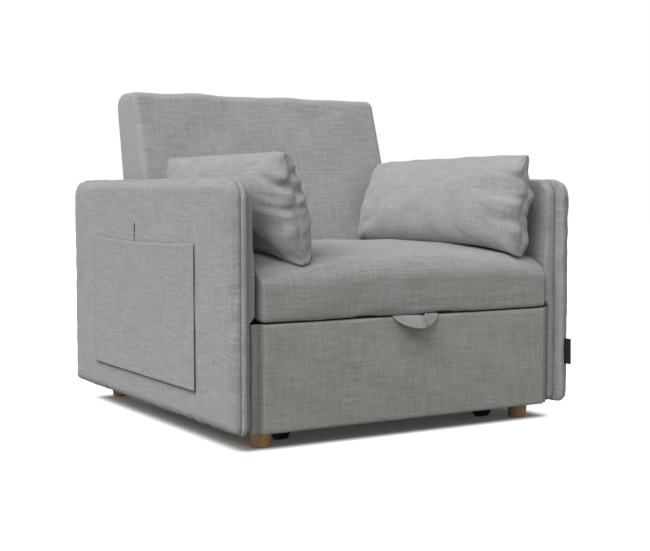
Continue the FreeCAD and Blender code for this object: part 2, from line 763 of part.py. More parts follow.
def make_wheels():
    """Drawer wheels, each on an axle in a steel fork under the drawer base."""
    y = DRAWER_FRONT_Y + WHEEL_BEHIND_FRONT
    z = WHEEL_RADIUS
    half = WHEEL_WIDTH / 2
    cheek = half + FORK_GAP
    outer = cheek + FORK_WALL
    bore = AXLE_RADIUS + PIN_CLEARANCE
    axles = []
    for side, name in ((-1, "left"), (1, "right")):
        x = side * WHEEL_X
        tread = rod_x(x - half, x + half, y, z, WHEEL_RADIUS)
        save(name + "_wheel", tread.cut(rod_x(x - outer, x + outer, y, z, bore)))
        axles.append(rod_x(x - outer - AXLE_END, x + outer + AXLE_END, y, z, AXLE_RADIUS))
        profile = [
            (y - FORK_NOSE, z - FORK_NOSE, FORK_NOSE_RADIUS),
            (y + FORK_NOSE, z - FORK_NOSE, FORK_NOSE_RADIUS),
            (y + FORK_HALF_DEPTH, DRAWER_FLOOR_Z, DRAWER_CORNER),
            (y - FORK_HALF_DEPTH, DRAWER_FLOOR_Z, DRAWER_CORNER),
        ]
        fork = slab_x(profile, x - outer, x + outer)
        reach = FORK_HALF_DEPTH + CUT_PAST
        fork = fork.cut(box(x - cheek, x + cheek, y - reach, y + reach, 0, DRAWER_FLOOR_Z - FORK_WALL))
        save(name + "_wheel_fork", fork.cut(rod_x(x - outer - AXLE_END, x + outer + AXLE_END, y, z, bore)))
    save("wheel_axles", Part.makeCompound(axles))


def tooth_ring(x0, x1, y, z):
    """Toothed disc: each tooth is a point at the tip radius between two roots."""
    points = []
    root = RATCHET_TIP_RADIUS - RATCHET_TOOTH
    step = 2 * math.pi / RATCHET_TEETH
    for tooth in range(RATCHET_TEETH):
        start = tooth * step - math.pi / 2
        for offset, radius in ((0.0, root), (0.5, RATCHET_TIP_RADIUS)):
            angle = start + offset * step
            points.append(Vector(x0, y + radius * math.cos(angle), z + radius * math.sin(angle)))
    points.append(points[0])
    return Part.Face(Part.makePolygon(points)).extrude(Vector(x1 - x0, 0, 0))


def strip_x(start, end, half_width, x0, x1):
    """Flat bar between two points in the YZ plane, with round ends."""
    along = Vector(end[0] - start[0], end[1] - start[1], 0)
    along.normalize()
    across = Vector(-along.y, along.x, 0) * half_width
    corners = []
    for point, sign in ((start, 1), (end, 1), (end, -1), (start, -1)):
        corners.append(Vector(x0, point[0] + sign * across.x, point[1] + sign * across.y))
    corners.append(corners[0])
    middle = Part.Face(Part.makePolygon(corners)).extrude(Vector(x1 - x0, 0, 0))
    caps = [rod_x(x0, x1, point[0], point[1], half_width) for point in (start, end)]
    return middle.fuse(caps).removeSplitter()


def make_hinge(side, name):
    """Recline hinge: plate on the base, toothed arm on the backrest, pin and pawl."""
    arm_x0 = side * BACK_X
    arm_x1 = side * (BACK_X + HINGE_PLATE)
    plate_x0 = side * (BACK_X + HINGE_PLATE + PLATE_GAP)
    plate_x1 = side * BASE_INNER_X
    hole = HINGE_PIN_RADIUS + PIN_CLEARANCE
    foot_z = RUNNER_Z + RUNNER_HEIGHT + HINGE_PLATE_LIFT
    waist_z = BASE_SIDE_TOP_Z - HINGE_PLATE_DROP
    plate = slab_x(
        [
            (HINGE_Y - HINGE_PLATE_HALF, foot_z, HINGE_PLATE_FOOT_RADIUS),
            (HINGE_Y + HINGE_PLATE_HALF, foot_z, HINGE_PLATE_FOOT_RADIUS),
            (HINGE_Y + HINGE_PLATE_HALF, waist_z, HINGE_PLATE_WAIST_RADIUS),
            (HINGE_Y + HINGE_EAR, HINGE_Z + HINGE_EAR, HINGE_EAR_RADIUS),
            (HINGE_Y - HINGE_EAR, HINGE_Z + HINGE_EAR, HINGE_EAR_RADIUS),
            (HINGE_Y - HINGE_PLATE_HALF, waist_z, HINGE_PLATE_WAIST_RADIUS),
        ],
        plate_x0,
        plate_x1,
    )
    pawl_y = HINGE_Y + PAWL_LENGTH
    pawl_z = HINGE_Z - PAWL_DROP
    plate = plate.cut(rod_x(plate_x0 - side, plate_x1 + side, HINGE_Y, HINGE_Z, HINGE_PIN_RADIUS))
    plate = plate.cut(rod_x(plate_x0 - side, plate_x1 + side, pawl_y, pawl_z, PAWL_PIN_RADIUS))
    save(name + "_hinge_plate", plate)
    top_y = rear_line(BACK_FOOT_Z + HINGE_ARM_LEVEL) - HINGE_ARM_SET_IN
    top = (top_y, BACK_FOOT_Z + HINGE_ARM_HEIGHT)
    foot = (HINGE_Y + HINGE_ARM_FOOT_Y, HINGE_Z + HINGE_ARM_FOOT_Z)
    arm = tooth_ring(arm_x0, arm_x1, HINGE_Y, HINGE_Z)
    arm = arm.fuse(strip_x(foot, top, HINGE_ARM_HALF_WIDTH, arm_x0, arm_x1))
    arm = arm.cut(rod_x(arm_x0 - side, arm_x1 + side, HINGE_Y, HINGE_Z, hole)).removeSplitter()
    save(name + "_hinge_arm", arm)
    save(name + "_pawl", make_pawl(arm_x0, arm_x1, pawl_y, pawl_z))


def make_hinge_pins():
    """Pivot pins of the two hinges and of their two pawls, fixed in the base plates."""
    pivots = []
    pawl_pivots = []
    for side in (-1, 1):
        near = side * BACK_X
        far = side * BASE_INNER_X
        pivots.append(rod_x(near, far, HINGE_Y, HINGE_Z, HINGE_PIN_RADIUS))
        pawl_pivots.append(rod_x(near, far, HINGE_Y + PAWL_LENGTH, HINGE_Z - PAWL_DROP, PAWL_PIN_RADIUS))
    save("hinge_pins", Part.makeCompound(pivots))
    save("pawl_pins", Part.makeCompound(pawl_pivots))


def make_pawl(x0, x1, pivot_y, pivot_z):
    """Pawl whose nose fits between two teeth when it swings up by its travel."""
    step = 2 * math.pi / RATCHET_TEETH
    flank = RATCHET_TOOTH - PAWL_NOSE_GAP
    half = flank * math.tan(step * PAWL_NOSE_SPREAD) + PAWL_NOSE_FLAT
    tip_z = HINGE_Z - (RATCHET_TIP_RADIUS - RATCHET_TOOTH) - PAWL_NOSE_GAP
    shoulder_z = tip_z - flank - PAWL_NOSE_SHOULDER
    shank_z = tip_z - flank - PAWL_NOSE_SHANK
    nose = [
        Vector(x0, HINGE_Y, tip_z),
        Vector(x0, HINGE_Y + half, shoulder_z),
        Vector(x0, HINGE_Y + half, shank_z),
        Vector(x0, HINGE_Y - half, shank_z),
        Vector(x0, HINGE_Y - half, shoulder_z),
        Vector(x0, HINGE_Y, tip_z),
    ]
    head = Part.Face(Part.makePolygon(nose)).extrude(Vector(x1 - x0, 0, 0))
    lever_end = (HINGE_Y + PAWL_LEVER_SHIFT, tip_z - flank - PAWL_LEVER_DROP)
    lever = strip_x((pivot_y, pivot_z), lever_end, PAWL_LEVER_HALF_WIDTH, x0, x1)
    boss = rod_x(x0, x1, pivot_y, pivot_z, PAWL_PIN_RADIUS + PAWL_BOSS)
    pawl = head.fuse([lever, boss]).removeSplitter()
    pawl.rotate(Vector(0, pivot_y, pivot_z), Vector(1, 0, 0), PAWL_SWING)
    hole = rod_x(x0 - HINGE_PLATE, x1 + HINGE_PLATE, pivot_y, pivot_z, PAWL_PIN_RADIUS + PIN_CLEARANCE)
    return pawl.cut(hole)


def make_bed_lift():
    """Pull-out bed cushion on its board, folded down on four links inside the drawer."""
    inner_x = DRAWER_SIDE_X - DRAWER_BOARD
    half_width = BED_CUSHION_WIDTH / 2
    board_z = LIFT_LOW_Z + LIFT_RISE_REST + LIFT_LINK_WIDTH / 2 + LIFT_BOARD_GAP
    board_top = board_z + BED_BOARD
    cushion_z = board_top + SEAT_GAP
    front_y = DRAWER_BOARD_REAR_Y + BED_BEHIND_FRONT
    rear_y = front_y + BED_CUSHION_DEPTH

    def section(inset, crown):
        """Bed cushion seen from the side, with a low crown."""
        top = cushion_z + BED_CUSHION_THICK - crown - inset
        return [
            (front_y + inset, cushion_z + inset, BED_FOOT_ROLL),
            (rear_y - inset, cushion_z + inset, BED_FOOT_ROLL),
            (rear_y - inset, top, BED_TOP_ROLL),
            ((front_y + rear_y) / 2, top + crown, BED_CROWN_RADIUS),
            (front_y + inset, top, BED_TOP_ROLL),
        ]

    save("bed_board", box(-half_width, half_width, front_y, rear_y, board_z, board_top))
    save("bed_cushion", soft_loft(half_width, BED_SIDE_ROWS, BED_SWELL, section))
    links = []
    pins = []
    rails = []
    link_x = inner_x - LIFT_SIDE_GAP
    rail_x = half_width - LIFT_LINK_THICK
    hole = LIFT_PIN_RADIUS + PIN_CLEARANCE
    for side in (-1, 1):
        near = side * link_x
        far = side * (link_x - LIFT_LINK_THICK)
        pin_end = far - side * LIFT_PIN_END
        for low_y in (front_y + LIFT_FRONT_PIN, rear_y - LIFT_REAR_PIN - LIFT_LINK_LENGTH):
            low = (low_y, LIFT_LOW_Z)
            high = (low_y + LIFT_LINK_LENGTH, LIFT_LOW_Z + LIFT_RISE_REST)
            link = strip_x(low, high, LIFT_LINK_WIDTH / 2, near, far)
            for y, z in (low, high):
                link = link.cut(rod_x(near + side, far - side, y, z, hole))
            links.append(link)
            pins.append(rod_x(side * inner_x, pin_end, low[0], low[1], LIFT_PIN_RADIUS))
            pin_start = near + side * LIFT_PIN_START
            pins.append(rod_x(pin_start, side * half_width, high[0], high[1], LIFT_PIN_RADIUS))
        rail_front_y = front_y + LIFT_RAIL_FRONT
        rail_rear_y = rear_y - LIFT_RAIL_REAR
        foot_z = board_z - LIFT_RAIL_HEIGHT
        rails.append(box(side * half_width, side * rail_x, rail_front_y, rail_rear_y, foot_z, board_z))
    save("lift_links", Part.makeCompound(links))
    save("lift_pins", Part.makeCompound(pins))
    save("lift_rails", Part.makeCompound(rails))


def make_loop():
    """Pull loop of flat strap: both tails lie on the drawer front's top edge, the loop hangs before it."""
    top_z = DRAWER_FRONT_TOP_Z + SEAT_GAP + LOOP_THICK
    front_y = DRAWER_FRONT_Y - SEAT_GAP
    half = LOOP_SPAN / 2

    def bow(reach, half_span, z):
        """Arc that swings out before the drawer front, with its two ends."""
        start = Vector(-half_span, front_y, z)
        end = Vector(half_span, front_y, z)
        return Part.Arc(start, Vector(0, front_y - reach, z), end), start, end

    foot_z = top_z - LOOP_HEIGHT
    outer, outer_start, outer_end = bow(LOOP_REACH, half, foot_z)
    inner, inner_start, inner_end = bow(LOOP_REACH - LOOP_THICK, half - LOOP_THICK, foot_z)
    left = Part.LineSegment(outer_start, inner_start)
    right = Part.LineSegment(outer_end, inner_end)
    wire = Part.Wire([outer.toShape(), right.toShape(), inner.toShape(), left.toShape()])
    loop = Part.Face(wire).extrude(Vector(0, 0, LOOP_HEIGHT))
    tails = []
    for side in (-1, 1):
        tails.append(
            box(
                side * half,
                side * (half - LOOP_STRAP),
                front_y - LOOP_JOIN,
                front_y + LOOP_TAIL,
                top_z - LOOP_THICK,
                top_z,
            )
        )
    save("pull_loop", loop.fuse(tails).removeSplitter())


def pillow(tilt, turn, foot):
    """Loose pillow along Y: lens sections that thin and draw in towards both ends.

    tilt leans it sideways, turn swings it about the vertical, foot is the middle of its lower seam."""
    edge = PILLOW_EDGE / 2
    rings = []
    for share in PILLOW_STATIONS:
        y = share * PILLOW_LENGTH / 2
        swell = (PILLOW_THICK - PILLOW_EDGE) / 2 * (1.0 - abs(share) ** PILLOW_END_POWER)
        height = PILLOW_HEIGHT * (PILLOW_WAIST + (1.0 - PILLOW_WAIST) * share * share)
        low = (PILLOW_HEIGHT - height) / 2
        belly = 2 * edge + swell
        belly_z = low + height * PILLOW_BELLY
        right = Part.Arc(Vector(edge, y, low), Vector(belly, y, belly_z), Vector(edge, y, low + height))
        left = Part.Arc(Vector(-edge, y, low + height), Vector(-belly, y, belly_z), Vector(-edge, y, low))
        rings.append(right.discretize(PILLOW_SIDE_POINTS) + left.discretize(PILLOW_SIDE_POINTS))
    body = flat_loft(rings)
    body.rotate(Vector(0, 0, 0), Vector(0, 1, 0), tilt)
    body.rotate(Vector(0, 0, 0), Vector(1, 0, 0), PILLOW_DIP)
    body.rotate(Vector(0, 0, 0), Vector(0, 0, 1), turn)
    body.translate(foot)
    return body


os.makedirs("parts", exist_ok=True)
for arm_side, arm_name in ((-1, "left"), (1, "right")):
    make_arm(arm_side, arm_name)
    make_base_rail(arm_side, arm_name)
    make_hinge(arm_side, arm_name)
make_hinge_pins()
make_pockets()
make_tab()
make_backrest()
make_seat()
make_cross_rails()
make_slats()
make_feet()
make_arm_bolts()
make_drawer_front()
make_drawer_box()
make_runners()
make_wheels()
make_bed_lift()
make_loop()
for pillow_name, lean, turn_in, seam_foot in PILLOW_PLACES:
    save(pillow_name + "_pillow", pillow(lean, turn_in, seam_foot))
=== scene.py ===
import math

import bpy
import numpy as np
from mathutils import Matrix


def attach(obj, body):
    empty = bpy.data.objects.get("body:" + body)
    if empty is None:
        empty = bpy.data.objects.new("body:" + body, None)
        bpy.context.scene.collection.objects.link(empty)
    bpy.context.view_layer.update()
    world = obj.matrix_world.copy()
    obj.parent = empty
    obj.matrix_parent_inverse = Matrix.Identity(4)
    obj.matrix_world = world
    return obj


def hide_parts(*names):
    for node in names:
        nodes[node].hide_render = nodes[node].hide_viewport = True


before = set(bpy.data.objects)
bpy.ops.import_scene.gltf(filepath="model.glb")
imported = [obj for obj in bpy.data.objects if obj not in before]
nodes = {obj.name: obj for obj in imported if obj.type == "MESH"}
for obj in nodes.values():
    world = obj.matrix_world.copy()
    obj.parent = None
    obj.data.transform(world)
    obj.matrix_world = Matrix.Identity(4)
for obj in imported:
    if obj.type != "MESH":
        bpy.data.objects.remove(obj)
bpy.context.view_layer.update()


# Room: a white floor that glows for the camera, nearly white outside a box round the chair and dim inside it,
# so the chair's soft shadow is a painted shadow that ends at the box; light from above on the left, and the
# camera low in front of the left arm.


def add_object(name, data):
    """Object in the scene, with its place in its mesh."""
    made = bpy.data.objects.new(name, data)
    bpy.context.scene.collection.objects.link(made)
    return made


def material(name, roughness=0.8):
    """New node material with its Principled shader."""
    made = bpy.data.materials.new(name)
    made.use_nodes = True
    shader = made.node_tree.nodes["Principled BSDF"]
    shader.inputs["Roughness"].default_value = roughness
    return made, made.node_tree, shader


def join(tree, node, inputs):
    """Give inputs of a node, by name or number, a value each or a socket of another node."""
    for socket, value in inputs.items():
        if isinstance(value, bpy.types.NodeSocket):
            tree.links.new(value, node.inputs[socket])
        else:
            node.inputs[socket].default_value = value


def add_node(tree, kind, inputs=None, **settings):
    """New shader node with its settings, which decide its sockets, and then its inputs."""
    made = tree.nodes.new("ShaderNode" + kind)
    for setting, value in settings.items():
        setattr(made, setting, value)
    join(tree, made, inputs or {})
    return made


def colour_mix(tree, factor, a, b, blend="MIX"):
    """Colour output of a mix of a and b."""
    inputs = {"Factor": factor, "A": a, "B": b}
    return add_node(tree, "Mix", inputs, data_type="RGBA", blend_type=blend).outputs["Result"]


camera_data = bpy.data.cameras.new("camera")
camera_data.sensor_width = 36.0
camera_data.lens = 69.95
camera = add_object("camera", camera_data)
camera.location = (-1.7006, -2.8972, 0.5755)
camera.rotation_euler = (math.radians(90.0 - 3.83), 0.0, math.radians(-31.04))
bpy.context.scene.camera = camera
bpy.context.scene.view_settings.view_transform = "Standard"

FLOOR_REACH = 14
SHADOW_HALF = (0.415, 0.418, 0.0)
floor_mesh = bpy.data.meshes.new("floor")
floor_corners = [(x * FLOOR_REACH, y * FLOOR_REACH, 0) for x, y in ((-1, -1), (1, -1), (1, 1), (-1, 1))]
floor_mesh.from_pydata(floor_corners, [], [(0, 1, 2, 3)])
floor = add_object("floor", floor_mesh)
floor_with_painted_shadow, tree, shader = material("floor_with_painted_shadow", 0.9)
camera_ray = add_node(tree, "LightPath").outputs["Is Camera Ray"]
seen = colour_mix(tree, camera_ray, (0.30, 0.30, 0.285, 1), (0.95, 0.95, 0.95, 1))
# Painted shadow: the floor's glow follows where it lies, dim inside a box round the chair's footprint and
# nearly white a few centimetres outside.
where = add_node(tree, "TexCoord").outputs["Object"]
beyond = add_node(tree, "VectorMath", {0: where}, operation="ABSOLUTE")
outside = add_node(tree, "VectorMath", {0: beyond.outputs[0], 1: SHADOW_HALF}, operation="SUBTRACT")
clear = add_node(tree, "VectorMath", {0: outside.outputs[0]}, operation="MAXIMUM")
far = add_node(tree, "VectorMath", {0: clear.outputs[0]}, operation="LENGTH").outputs["Value"]
fade = {"Value": far, "From Max": 0.062, "To Min": 0.028, "To Max": 0.9}
painted_shadow_ramp = add_node(tree, "MapRange", fade, interpolation_type="SMOOTHSTEP")
painted_glow = add_node(tree, "Math", {0: camera_ray, 1: painted_shadow_ramp.outputs[0]}, operation="MULTIPLY")
join(tree, shader, {"Specular IOR Level": 0.1, "Emission Color": (1, 1, 1, 1)})
join(tree, shader, {"Base Color": seen, "Emission Strength": painted_glow.outputs[0]})
floor_mesh.materials.append(floor_with_painted_shadow)

world = bpy.data.worlds.new("studio")
bpy.context.scene.world = world
world.use_nodes = True
tree = world.node_tree
sky = tree.nodes["Background"]
join(tree, sky, {"Color": (1.0, 1.0, 0.985, 1), "Strength": 0.42})
backdrop = add_node(tree, "Background", {"Color": (1, 1, 1, 1), "Strength": 1.0})
camera_ray = add_node(tree, "LightPath").outputs["Is Camera Ray"]
pick = add_node(tree, "MixShader", {0: camera_ray, 1: sky.outputs[0], 2: backdrop.outputs[0]})
join(tree, tree.nodes["World Output"], {"Surface": pick.outputs[0]})

key_data = bpy.data.lights.new("key_light", "SUN")
key_data.energy = 2.25
key_data.angle = math.radians(50.0)
key_light = add_object("key_light", key_data)
key_light.rotation_euler = (math.radians(90.0 - 51.0), 0.0, math.radians(-71.0))


# Side rails and slat ledgers: planed pine boards, bolted to the arms, with a flange that carries the feet.
# Growth rings show as long streaks along each board.

RING_STEP = 0.09


def surface_group(name, inputs):
    """New shader group with a colour, a roughness and a normal as its end: the group, its inputs, its end."""
    group = bpy.data.node_groups.new(name, "ShaderNodeTree")
    for socket, kind in inputs:
        group.interface.new_socket(socket, in_out="INPUT", socket_type="NodeSocket" + kind)
    for socket, kind in (("Color", "Color"), ("Roughness", "Float"), ("Normal", "Vector")):
        group.interface.new_socket(socket, in_out="OUTPUT", socket_type="NodeSocket" + kind)
    return group, group.nodes.new("NodeGroupInput").outputs, group.nodes.new("NodeGroupOutput")


def wood_group():
    """Shader group for sawn wood: dark rings stretched along Y, fine pores, and a slow change of tone."""
    inputs = (("Vector", "Vector"), ("Light", "Color"), ("Dark", "Color"), ("Ring size", "Float"))
    group, given, end = surface_group("wood_figure", inputs)
    noise = {"Vector": given["Vector"], "Scale": given["Ring size"], "Detail": 3.0, "Distortion": 0.6}
    rings = add_node(group, "TexNoise", noise).outputs["Fac"]
    noise = {"Vector": given["Vector"], "Scale": 900.0, "Detail": 2.0}
    pores = add_node(group, "TexNoise", noise).outputs["Fac"]
    steps = add_node(group, "Math", {0: rings, 1: RING_STEP}, operation="PINGPONG")
    spread = add_node(group, "MapRange", {"Value": steps.outputs[0], "From Max": RING_STEP}).outputs[0]
    mixed = colour_mix(group, spread, given["Light"], given["Dark"])
    flecked = colour_mix(group, 0.35, mixed, pores, "MULTIPLY")
    rough = add_node(group, "MapRange", {"Value": spread, "To Min": 0.42, "To Max": 0.62})
    bump = add_node(group, "Bump", {"Height": pores, "Strength": 0.25, "Distance": 0.0006})
    join(group, end, {"Color": flecked, "Roughness": rough.outputs[0], "Normal": bump.outputs[0]})
    return group


wood_figure = wood_group()


def show_surface(tree, shader, group, inputs):
    """Put a surface group into a material and join it to the shader."""
    made = add_node(tree, "Group", inputs, node_tree=group).outputs
    for socket, source in (("Base Color", "Color"), ("Roughness", "Roughness"), ("Normal", "Normal")):
        join(tree, shader, {socket: made[source]})


def wood(name, light, dark, ring_size, stretch):
    """Wood whose rings are stretched by the given factors along X, Y and Z."""
    made, tree, shader = material(name)
    where = add_node(tree, "TexCoord")
    lay = add_node(tree, "Mapping", {"Vector": where.outputs["Object"], "Scale": stretch})
    inputs = {"Vector": lay.outputs[0], "Light": (*light, 1), "Dark": (*dark, 1), "Ring size": ring_size}
    show_surface(tree, shader, wood_figure, inputs)
    return made


def finish_node(finish, *names):
    """Give CAD nodes a finish in every one of their material slots."""
    for name in names:
        mesh = nodes[name].data
        if not mesh.materials:
            mesh.materials.append(finish)
        for index in range(len(mesh.materials)):
            mesh.materials[index] = finish


def both(*names):
    """The left and the right node of each name."""
    return [side + name for name in names for side in ("left_", "right_")]


pine = wood("rail_pine", (0.56, 0.38, 0.20), (0.38, 0.22, 0.10), 26.0, (1.0, 0.06, 1.0))
finish_node(pine, *both("base_rail", "slat_ledger"))


# Cross rails: the same pine, sawn across the chair, one above the drawer and one at the rear.
# Their grain runs from side to side.
cross_pine = wood("cross_rail_pine", (0.54, 0.36, 0.19), (0.36, 0.21, 0.10), 26.0, (0.06, 1.0, 1.0))
finish_node(cross_pine, "front_cross_rail", "rear_cross_rail")


# Slats: bowed strips of laminated birch that spring the seat, with their grain along the strip.
# They lie loose in the two ledgers and carry the seat cushion.
birch = wood("slat_birch", (0.68, 0.52, 0.32), (0.55, 0.38, 0.20), 34.0, (0.05, 1.0, 1.6))
finish_node(birch, "seat_slats")


# Feet: turned oak, oiled to a warm tan, screwed up into the rails' flanges.
# Their grain stands upright.
# Painted light: the oak's colours are lightened past the wood's own to make up for the shade under the chair.
oak = wood("foot_oak_painted_light", (0.95, 0.58, 0.31), (0.78, 0.44, 0.22), 42.0, (1.0, 1.0, 0.10))
finish_node(oak, "front_left_foot", "front_right_foot", "rear_left_foot", "rear_right_foot")


# Drawer box, arm cores, bed board and backrest board: birch plywood, sanded but unpainted.
# The face veneer is pale, with long quiet figure.
plywood = wood("birch_plywood", (0.62, 0.47, 0.29), (0.50, 0.35, 0.19), 15.0, (0.35, 0.05, 0.35))
finish_node(plywood, *both("arm_core"), "bed_board", "backrest_board", "drawer_front_board")
finish_node(plywood, "drawer_left_side", "drawer_right_side", "drawer_base", "drawer_rear")


# Runners, hinges, pins and bolts: pressed steel with a bright zinc coat.
# The coat shows faint cloudy patches and drawing lines.


def steel(name, colour, roughness, line_stretch):
    """Coated steel: roughness and tone drift in clouds, with fine lines along the metal."""
    made, tree, shader = material(name, roughness)
    where = add_node(tree, "TexCoord").outputs["Object"]
    clouds = add_node(tree, "TexNoise", {"Vector": where, "Scale": 45.0, "Detail": 4.0}).outputs["Fac"]
    lay = add_node(tree, "Mapping", {"Vector": where, "Scale": line_stretch})
    lines = add_node(tree, "TexNoise", {"Vector": lay.outputs[0], "Scale": 700.0})
    tone = add_node(tree, "MapRange", {"Value": clouds, "To Min": 0.82, "To Max": 1.12})
    tint = colour_mix(tree, 1.0, (*colour, 1), tone.outputs[0], "MULTIPLY")
    drift = {"Value": clouds, "To Min": roughness - 0.1, "To Max": roughness + 0.14}
    rough = add_node(tree, "MapRange", drift)
    bump = add_node(tree, "Bump", {"Height": lines.outputs["Fac"], "Strength": 0.12, "Distance": 0.0003})
    join(tree, shader, {"Metallic": 1.0, "Base Color": tint, "Roughness": rough.outputs[0]})
    join(tree, shader, {"Normal": bump.outputs[0]})
    return made


zinc = steel("zinc_plate", (0.60, 0.61, 0.62), 0.34, (1.0, 0.04, 1.0))
finish_node(zinc, *both("runner_channel", "runner_bar"))
finish_node(zinc, "hinge_pins", "pawl_pins", "arm_bolts", "wheel_axles", "lift_pins")


# Hinge plates, toothed arms, pawls, wheel forks and lift links: the same steel, painted black.
# The paint's tone and gloss drift a little, in clouds.
black_paint = steel("black_paint", (0.032, 0.032, 0.034), 0.48, (1.0, 1.0, 0.05))
black_paint.node_tree.nodes["Principled BSDF"].inputs["Metallic"].default_value = 0.25
finish_node(black_paint, *both("hinge_plate", "hinge_arm", "pawl", "wheel_fork"), "lift_links", "lift_rails")


# Drawer wheels: moulded black nylon, dull, with dust on it in uneven patches.
# They turn on bright axles in forks under the drawer.
nylon, tree, shader = material("wheel_nylon", 0.5)
where = add_node(tree, "TexCoord").outputs["Object"]
dust = add_node(tree, "TexNoise", {"Vector": where, "Scale": 120.0, "Detail": 5.0}).outputs["Fac"]
soot = colour_mix(tree, dust, (0.014, 0.014, 0.015, 1), (0.055, 0.053, 0.050, 1))
wear = add_node(tree, "MapRange", {"Value": dust, "To Min": 0.38, "To Max": 0.7})
join(tree, shader, {"Base Color": soot, "Roughness": wear.outputs[0]})
finish_node(nylon, *both("wheel"))


# Seat cushion: foam under grey slubby linen, crowned on top, with a big soft roll over its front edge.
# Its front corners fall away towards the arms, and its front lip hangs a little over the drawer.
SEAT_HALF_WIDTH = 0.402
SEAT_FRONT_Y = -0.478
SEAT_FOOT_Z = 0.2915
SEAT_EDGE_Z = 0.424
SEAT_TOP_Z = 0.434
SEAT_CROWN = 0.006
SEAT_CORNER_FALL = 0.026
SEAT_FRONT_BOW = 0.004
SEAT_LIP = 0.004
SEAT_FLATTENED = 0.0022
BACK_TOP_Z = 0.842
BACK_FRONT_TOP_Y = 0.290
BACK_SLOPE = math.tan(math.radians(18.0))
YARN_PITCH = 0.0013


def weave_group():
    """Shader group for plain-woven slubby linen, laid out in metres on the piece's own weave map.

    Thick and thin places in the yarns are noises stretched along each yarn direction, and the crossings of
    the yarns are the product of two sine waves, one along and one across."""
    inputs = (("Weave map", "Vector"), ("Cloth", "Color"), ("Contrast", "Float"))
    group, given, end = surface_group("linen_weave", inputs)

    def noise(place, scale, detail):
        """Flat noise at a place."""
        inputs = {"Vector": place, "Scale": scale, "Detail": detail}
        return add_node(group, "TexNoise", inputs, noise_dimensions="2D").outputs["Fac"]

    def yarn(along, across):
        """Noise stretched along one direction of the cloth."""
        lay = add_node(group, "Mapping", {"Vector": given["Weave map"], "Scale": (along, across, 1.0)})
        return noise(lay.outputs[0], 1.0, 1.0)

    def blend(share, a, b):
        """a and b weighed by share."""
        return add_node(group, "Mix", {"Factor": share, "A": a, "B": b}).outputs["Result"]

    def result(operation, *terms):
        """Output of a maths node on the given terms."""
        return add_node(group, "Math", dict(enumerate(terms)), operation=operation).outputs[0]

    weft = blend(0.55, yarn(38.0, 520.0), yarn(13.0, 190.0))
    warp = blend(0.55, yarn(520.0, 38.0), yarn(190.0, 13.0))
    slubs = blend(0.45, weft, warp)
    drift = result("MULTIPLY_ADD", noise(given["Weave map"], 7.0, 3.0), 0.10, 0.95)
    shade = result("MULTIPLY_ADD", result("SUBTRACT", slubs, 0.5), given["Contrast"], drift)
    tint = colour_mix(group, 1.0, given["Cloth"], shade, "MULTIPLY")
    rough = add_node(group, "MapRange", {"Value": slubs, "To Min": 0.78, "To Max": 0.95})
    turns = {0: given["Weave map"], "Scale": 2 * math.pi / YARN_PITCH}
    waves = add_node(group, "VectorMath", turns, operation="SCALE")
    split = add_node(group, "SeparateXYZ", {0: waves.outputs[0]}).outputs
    crossing = result("MULTIPLY", result("SINE", split["X"]), result("SINE", split["Y"]))
    height = result("MULTIPLY_ADD", crossing, 0.25, slubs)
    bump = add_node(group, "Bump", {"Height": height, "Strength": 0.55, "Distance": 0.0012})
    join(group, end, {"Color": tint, "Roughness": rough.outputs[0], "Normal": bump.outputs[0]})
    return group


linen_weave = weave_group()


def linen(name, colour, contrast=1.25):
    """Linen of one colour, with the soft pale bloom that its loose fibres give at a glancing angle."""
    made, tree, shader = material(name, 0.9)
    where = add_node(tree, "UVMap", uv_map="weave")
    join(tree, shader, {"Specular IOR Level": 0.15, "Sheen Weight": 0.25, "Sheen Roughness": 0.55})
    inputs = {"Weave map": where.outputs[0], "Cloth": (*colour, 1), "Contrast": contrast}
    show_surface(tree, shader, linen_weave, inputs)
    return made


def cloth_object(name, points, faces, layout, finish):
    """Smooth mesh object in one finish, with its weave map: a place in metres for each face's corner."""
    mesh = bpy.data.meshes.new(name)
    mesh.from_pydata(points.tolist(), [], faces)
    mesh.uv_layers.new(name="weave").data.foreach_set("uv", layout.ravel())
    mesh.polygons.foreach_set("use_smooth", np.ones(len(mesh.polygons), bool))
    mesh.materials.append(finish)
    return add_object(name, mesh)


def cell_corners(grid):
    """The four corners of every cell of a grid, in order round the cell."""
    return np.stack([grid[:-1, :-1], grid[:-1, 1:], grid[1:, 1:], grid[1:, :-1]], 2)


def ramp(value, start, length):
    """Share of the way from start over the length, held between 0 and 1."""
    return np.clip((value - start) / length, 0, 1)


def bell(value, middle, width):
    """exp(-s^2), with s the distance from the middle in widths."""
    return np.exp(-(((value - middle) / width) ** 2))


